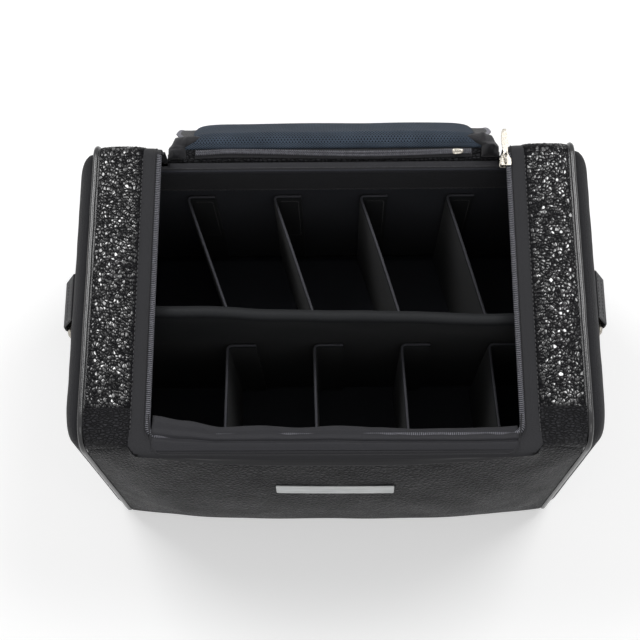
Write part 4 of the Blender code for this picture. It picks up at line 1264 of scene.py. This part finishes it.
def panelPlace(x, along, h):
    return lidPoint(x, lid["root"] + lid["corner"] + along, h)


def lidRun(inset, step):
    half = lidZip["half"] - inset
    end = lidZip["end"] - inset
    radius = lidZip["corner"] - min(inset, .004)
    start, reach = lidZip["start"], lidZip["reach"]
    side = [(half - lidZip["drawnIn"] * (1 - blendShare(0, 1, at / 10)), start + reach * at / 10) for at in range(11)]
    flat = [(-x, s) for x, s in side] + [(-half, end - radius)]
    flat += arc((-half + radius, end - radius), radius, 180, 90, 10)
    flat += arc((half - radius, end - radius), radius, 90, 0, 10)
    flat += [(half, end - radius)] + side[::-1]
    return evenly([Vector((x, s, 0)) for x, s in flat], step)


panelUp = (panelPlace(0, .1, 1) - panelPlace(0, .1, 0)).normalized()
lidCoilLine = [panelPlace(p.x, p.y, 0) for p in lidRun(lidZip["coilIn"], .001)]
lidCoil = coilPiece("lid_coil", lidCoilLine, lambda point: panelUp,
                    {**coilSize, "length": pathLength(lidCoilLine), "high": .0008})
finishPiece(lidCoil, "lid_panel", highlightedCoil, ("lid_zip_coil",))
flatLine = lidRun(lidZip["tapeIn"], .0022)
lidTapeFrames = []
for at, spot in enumerate(flatLine):
    along = alongAt(flatLine, at)
    inward = Vector((along.y, -along.x, 0))
    point = panelPlace(spot.x, spot.y, 0)
    away = panelPlace(spot.x + inward.x * .01, spot.y + inward.y * .01, 0) - point
    lidTapeFrames.append((point, away.normalized(), panelUp))
lidTape = sweepPiece("lid_tape", lidTapeFrames, [(0, -.0006), (0, .0004), (.0020, .0007), (.0060, .0006),
                                                 (.0127, .0008), (.0135, 0), (.0127, -.0009), (.0040, -.0008)])
finishPiece(lidTape, "lid_panel", zipTapeCloth, ("lid_zip_tape",), 50)
# the lid's coil and tape get meshes of their own
for piece in (lidCoil, lidTape):
    tuple(panelPlace(0, .15, 0))
    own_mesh(piece)
print("lid made")


# pocket zip in the root of the lid

pocket = {"half": .1128, "middle": .0056, "wave": .0016, "tape": .0050, "coilApart": .0012, "sliderX": .101}


def pocketWave(x):
    return pocket["middle"] + pocket["wave"] * (math.cos((x + .10) / .26 * 2 * math.pi)
                                                 * blendShare(0, .03, pocket["half"] - abs(x)))


def pocketTapePoint(u, v):
    x = (2 * u - 1) * pocket["half"]
    across = (v - .5) * 2 * pocket["tape"]
    lift = .0014 + .0010 * (1 - abs(v - .5) * 2) + .0003 * rough(x, across, 81, .01)
    return lidPoint(x, pocketWave(x) * (1 - abs(v - .5)) + pocket["middle"] * abs(v - .5) + across * .98, lift)


pocketTape = gridPiece("pocket_tape", 120, 12, pocketTapePoint, (.226, .010), (0, 0, 1), .0009)
finishPiece(pocketTape, "lid_root", zipTapeCloth, ("pocket_zip",))
rootUp = (lidPoint(0, .005, 1) - lidPoint(0, .005, 0)).normalized()
for number, offset in enumerate((-pocket["coilApart"], pocket["coilApart"])):
    line = [lidPoint(x / 1000, pocketWave(x / 1000) + offset, .0034) for x in range(-112, 113)]
    row = coilPiece(f"pocket_coil_{number + 1}", line, lambda point: rootUp,
                    {"pitch": .0015, "points": 6, "sides": 4, "across": .0010, "high": .0007, "wire": .00032,
                     "length": pathLength(line)})
    finishPiece(row, "lid_root", highlightedCoil, ("pocket_zip_coil",) if number else ())
print("pocket zip made")


# metal: zip slider, puller, pocket slider, D-rings, plate

def block(name, low, high):
    bpy.ops.object.select_all(action="DESELECT")
    middle = [(a + b) / 2 for a, b in zip(low, high)]
    bpy.ops.mesh.primitive_cube_add(size=1, location=middle)
    piece = bpy.context.object
    piece.name = piece.data.name = name
    piece.scale = [b - a for a, b in zip(low, high)]
    bpy.ops.object.transform_apply(location=True, rotation=True, scale=True)
    editWhole(piece, (bpy.ops.mesh.subdivide, {"number_cuts": 5}))
    return piece


def joinPieces(name, pieces):
    bpy.ops.object.select_all(action="DESELECT")
    for piece in pieces:
        piece.select_set(True)
    bpy.context.view_layer.objects.active = pieces[0]
    bpy.ops.object.join()
    pieces[0].name = pieces[0].data.name = name
    return pieces[0]


slider = {"x": .1352, "y": .1035, "long": .0100, "half": .0045, "plateLow": .2400, "plateHigh": .2412,
          "underLow": .2357, "underHigh": .2369}


def sliderPlate(name, low, high):
    # wide nose towards the front, narrow tail towards the back, with rounded ends
    plate = block(name, (slider["x"] - slider["half"], slider["y"] - slider["long"] / 2, low),
                  (slider["x"] + slider["half"], slider["y"] + slider["long"] / 2, high))
    for vertex in plate.data.vertices:
        along = (vertex.co.y - slider["y"]) / (slider["long"] / 2)
        narrow = mixed(1, .62, blendShare(-.5, 1, along)) * mixed(.86, 1, blendShare(-1, -.6, along))
        vertex.co.x = slider["x"] + (vertex.co.x - slider["x"]) * narrow
    bevelEdges(plate, .00035)
    return plate


plates = [sliderPlate("slider_top", slider["plateLow"], slider["plateHigh"]),
          sliderPlate("slider_under", slider["underLow"], slider["underHigh"])]
for offset in (-1, 1):  # the side flanges that hold the coils
    low = (slider["x"] + offset * .0040 - .0004, slider["y"] - .0040, slider["plateLow"] - .0009)
    high = (slider["x"] + offset * .0040 + .0004, slider["y"] + .0020, slider["plateLow"] + .0002)
    flange = block("slider_flange", low, high)
    bevelEdges(flange, .0002, 2)
    plates.append(flange)
# the post between the two mouths joins the plates
bpy.ops.mesh.primitive_cylinder_add(vertices=24, radius=.0010, depth=.0042,
                                    location=(slider["x"], slider["y"] - .0036, .23845))
post = bpy.context.object
bpy.ops.object.transform_apply(location=True, rotation=True, scale=True)
plates.append(post)
bail = [Vector((slider["x"], slider["y"] + .0034 * math.cos(t), .2408 + .0030 * math.sin(t)))
        for t in [math.pi * at / 14 for at in range(15)]]
bailPiece = sweepPiece("slider_bail", tubeFrames(bail), roundSection(.0010, 12, .75))
plates.append(bailPiece)
sliderBody = joinPieces("mouth_slider", plates)
finishPiece(sliderBody, "zip_slider", nickelPlate, ("zip_slider",), 40)

pull = {"x": .1352, "y": .1035, "z": .2424, "long": .0262, "half": .0031, "thick": .0011}


def pullPoint(u, v):
    # a flat tag with a waist, its hole end round the bail
    angle = 2 * math.pi * u
    along = pull["long"] * .5 * (1 - math.cos(angle)) - .0006
    waist = mixed(.62, 1, blendShare(.15, .75, along / pull["long"]))
    rim = abs(math.sin(angle)) ** .55
    across = math.copysign(pull["half"] * waist * rim, math.sin(angle))
    outer = Vector((pull["x"] + across, pull["y"] + along, pull["z"]))
    hole = Vector((pull["x"] + .0013 * math.sin(angle), pull["y"] + .0030 - .0021 * math.cos(angle), pull["z"]))
    return outer.lerp(hole, v)


tag = gridPiece("puller_tag", 64, 8, pullPoint, (.03, .006), (0, 0, 1))
editWhole(tag, (bpy.ops.mesh.remove_doubles, {"threshold": 1e-6}))
applyModifier(tag, "SOLIDIFY", thickness=pull["thick"], offset=0)
bevelEdges(tag, .00030)
finishPiece(tag, "zip_puller", nickelPlate, ("zip_puller",), 40)


pocketSlider = {"long": .0044, "half": .0031,
                "rings": [(0, .0036), (.80, .0036), (1, .0039), (1, .0046), (.86, .0050), (.35, .0051), (0, .0051)]}


def pocketSliderPoint(u, v):
    angle = 2 * math.pi * u
    across = math.copysign(abs(math.sin(angle)) ** .6, math.sin(angle)) * pocketSlider["half"]
    along = math.copysign(abs(math.cos(angle)) ** .6, math.cos(angle)) * pocketSlider["long"]
    across *= mixed(1, .8, (along / pocketSlider["long"] + 1) / 2)
    share, high = pocketSlider["rings"][round(v * 6)]
    return lidPoint(pocket["sliderX"] + along * share, pocket["middle"] + across * share, high)


pocketBody = closeShell(gridPiece("pocket_slider_body", 32, 6, pocketSliderPoint, (.01, .01)))
loop = [lidPoint(pocket["sliderX"] + .0024 * math.cos(t), pocket["middle"], .0048 + .0012 * math.sin(t))
        for t in [math.pi * at / 10 for at in range(11)]]
pocketLoop = tubePiece("pocket_slider_loop", loop, .0004, 8)
pocketPiece = joinPieces("pocket_slider_metal", [pocketBody, pocketLoop])
finishPiece(pocketPiece, "pocket_slider", nickelPlate, ("pocket_slider",), 45)

ring = {"x": .2115, "barZ": .188, "wide": .0430, "deep": .0280, "corner": .012, "wire": .0020}
tab = {"half": .0190, "thick": .0016, "top": .2176, "wrap": .0034, "seams": ((.2100, .2052), (.2052, .2152)),
       "stitch": {"pitch": .0030, "length": .0024, "radius": .0004, "lift": .0001}}
for side, sign in bothSides:
    half = ring["wide"] / 2
    low = ring["barZ"] - ring["deep"] + ring["corner"]
    flat = [(-half + .002, ring["barZ"]), (half - .002, ring["barZ"]), (half, ring["barZ"] - .002), (half, low)]
    flat += arc((half - ring["corner"], low), ring["corner"], 0, -90, 10)
    flat += arc((-half + ring["corner"], low), ring["corner"], -90, -180, 10)
    flat += [(-half, low), (-half, ring["barZ"] - .002)]
    line = evenly([Vector((sign * ring["x"], y, z)) for y, z in flat], .0016, loop=True)
    wire = tubePiece(f"d_ring_wire_{side}", line, ring["wire"], 16, loop=True)
    finishPiece(wire, f"d_ring_{side}", nickelPlate, (f"d_ring_{side}",))

    # webbing folded round the bar of the ring and sewn flat to the end
    middle = (ring["x"], ring["barZ"])
    plan = [(.2014, tab["top"]), (.2036, .2100), (.2058, .2000), (.2078, .1915)]
    plan += arc(middle, tab["wrap"], 170, 370, 14)
    plan += [(.2143, .1960), (.2105, .2040), (.2072, .2110), (.2040, tab["top"])]
    webLine = evenly([Vector((sign * x, 0, z)) for x, z in plan], .0010)
    frames = []
    for at, point in enumerate(webLine):
        frames.append((point, Vector((0, 1, 0)), alongAt(webLine, at).cross(Vector((0, 1, 0))).normalized()))
    half, thin = tab["half"], tab["thick"] / 2
    section = [(-half, 0), (-half + .0006, thin)]
    section += [(mixed(-half, half, at / 26), thin) for at in range(1, 26)]
    section += [(half - .0006, thin), (half, 0), (half - .0006, -thin)]
    section += [(mixed(half, -half, at / 26), -thin) for at in range(1, 26)] + [(-half + .0006, -thin)]
    web = sweepPiece(f"ring_webbing_{side}", frames, section)
    finishPiece(web, "case", webbingCloth, (f"ring_tab_{side}",), 50)
    for number, (x, z) in enumerate(tab["seams"]):
        line = [Vector((sign * (x + thin), -half + .003, z)), Vector((sign * (x + thin), half - .003, z))]
        sewn = stitchRow(f"ring_stitches_{side}_{number + 1}", line, lambda point: Vector((sign, 0, .5)).normalized(),
                         tab["stitch"])
        finishPiece(sewn, "case", thread)

plate = {"wide": .0900, "high": .0136, "z": .190, "thick": .0010, "proud": .0011, "corner": .0012, "tilt": .012}


def platePoint(u, v):
    x = (u - .5) * plate["wide"]
    z = plate["z"] + (v - .5) * plate["high"] - plate["tilt"] * x
    corner = plate["corner"]
    nearX = max(0, abs(x) - (plate["wide"] / 2 - corner))
    nearZ = max(0, abs((v - .5) * plate["high"]) - (plate["high"] / 2 - corner))
    reach = math.hypot(nearX, nearZ)
    if reach > corner:
        x -= math.copysign(nearX * (1 - corner / reach), x)
        z -= math.copysign(nearZ * (1 - corner / reach), v - .5)
    return Vector((x, frontY(x, z) - plate["proud"], z))


platePiece = gridPiece("bare_plate", 96, 16, platePoint, (.095, .013), (0, -1, 0), plate["thick"])
bevelEdges(platePiece, .00025, 2)
finishPiece(platePiece, "case", brushedPlate, ("label_plate",), 40)
print("metal made")


# sewing

tapeSeam = {"x": .1505, "start": .1080, "z": .2394, "step": .002, "points": 112,
            "stitch": {"pitch": .0036, "length": .0028, "radius": .00038, "lift": .0001}}
for side, sign in bothSides:
    line = [Vector((sign * tapeSeam["x"], tapeSeam["start"] - at * tapeSeam["step"], tapeSeam["z"]))
            for at in range(tapeSeam["points"])]
    row = stitchRow(f"tape_seam_{side}", line, lambda point: up, tapeSeam["stitch"])
    finishPiece(row, "case", thread)
print("sewing made")
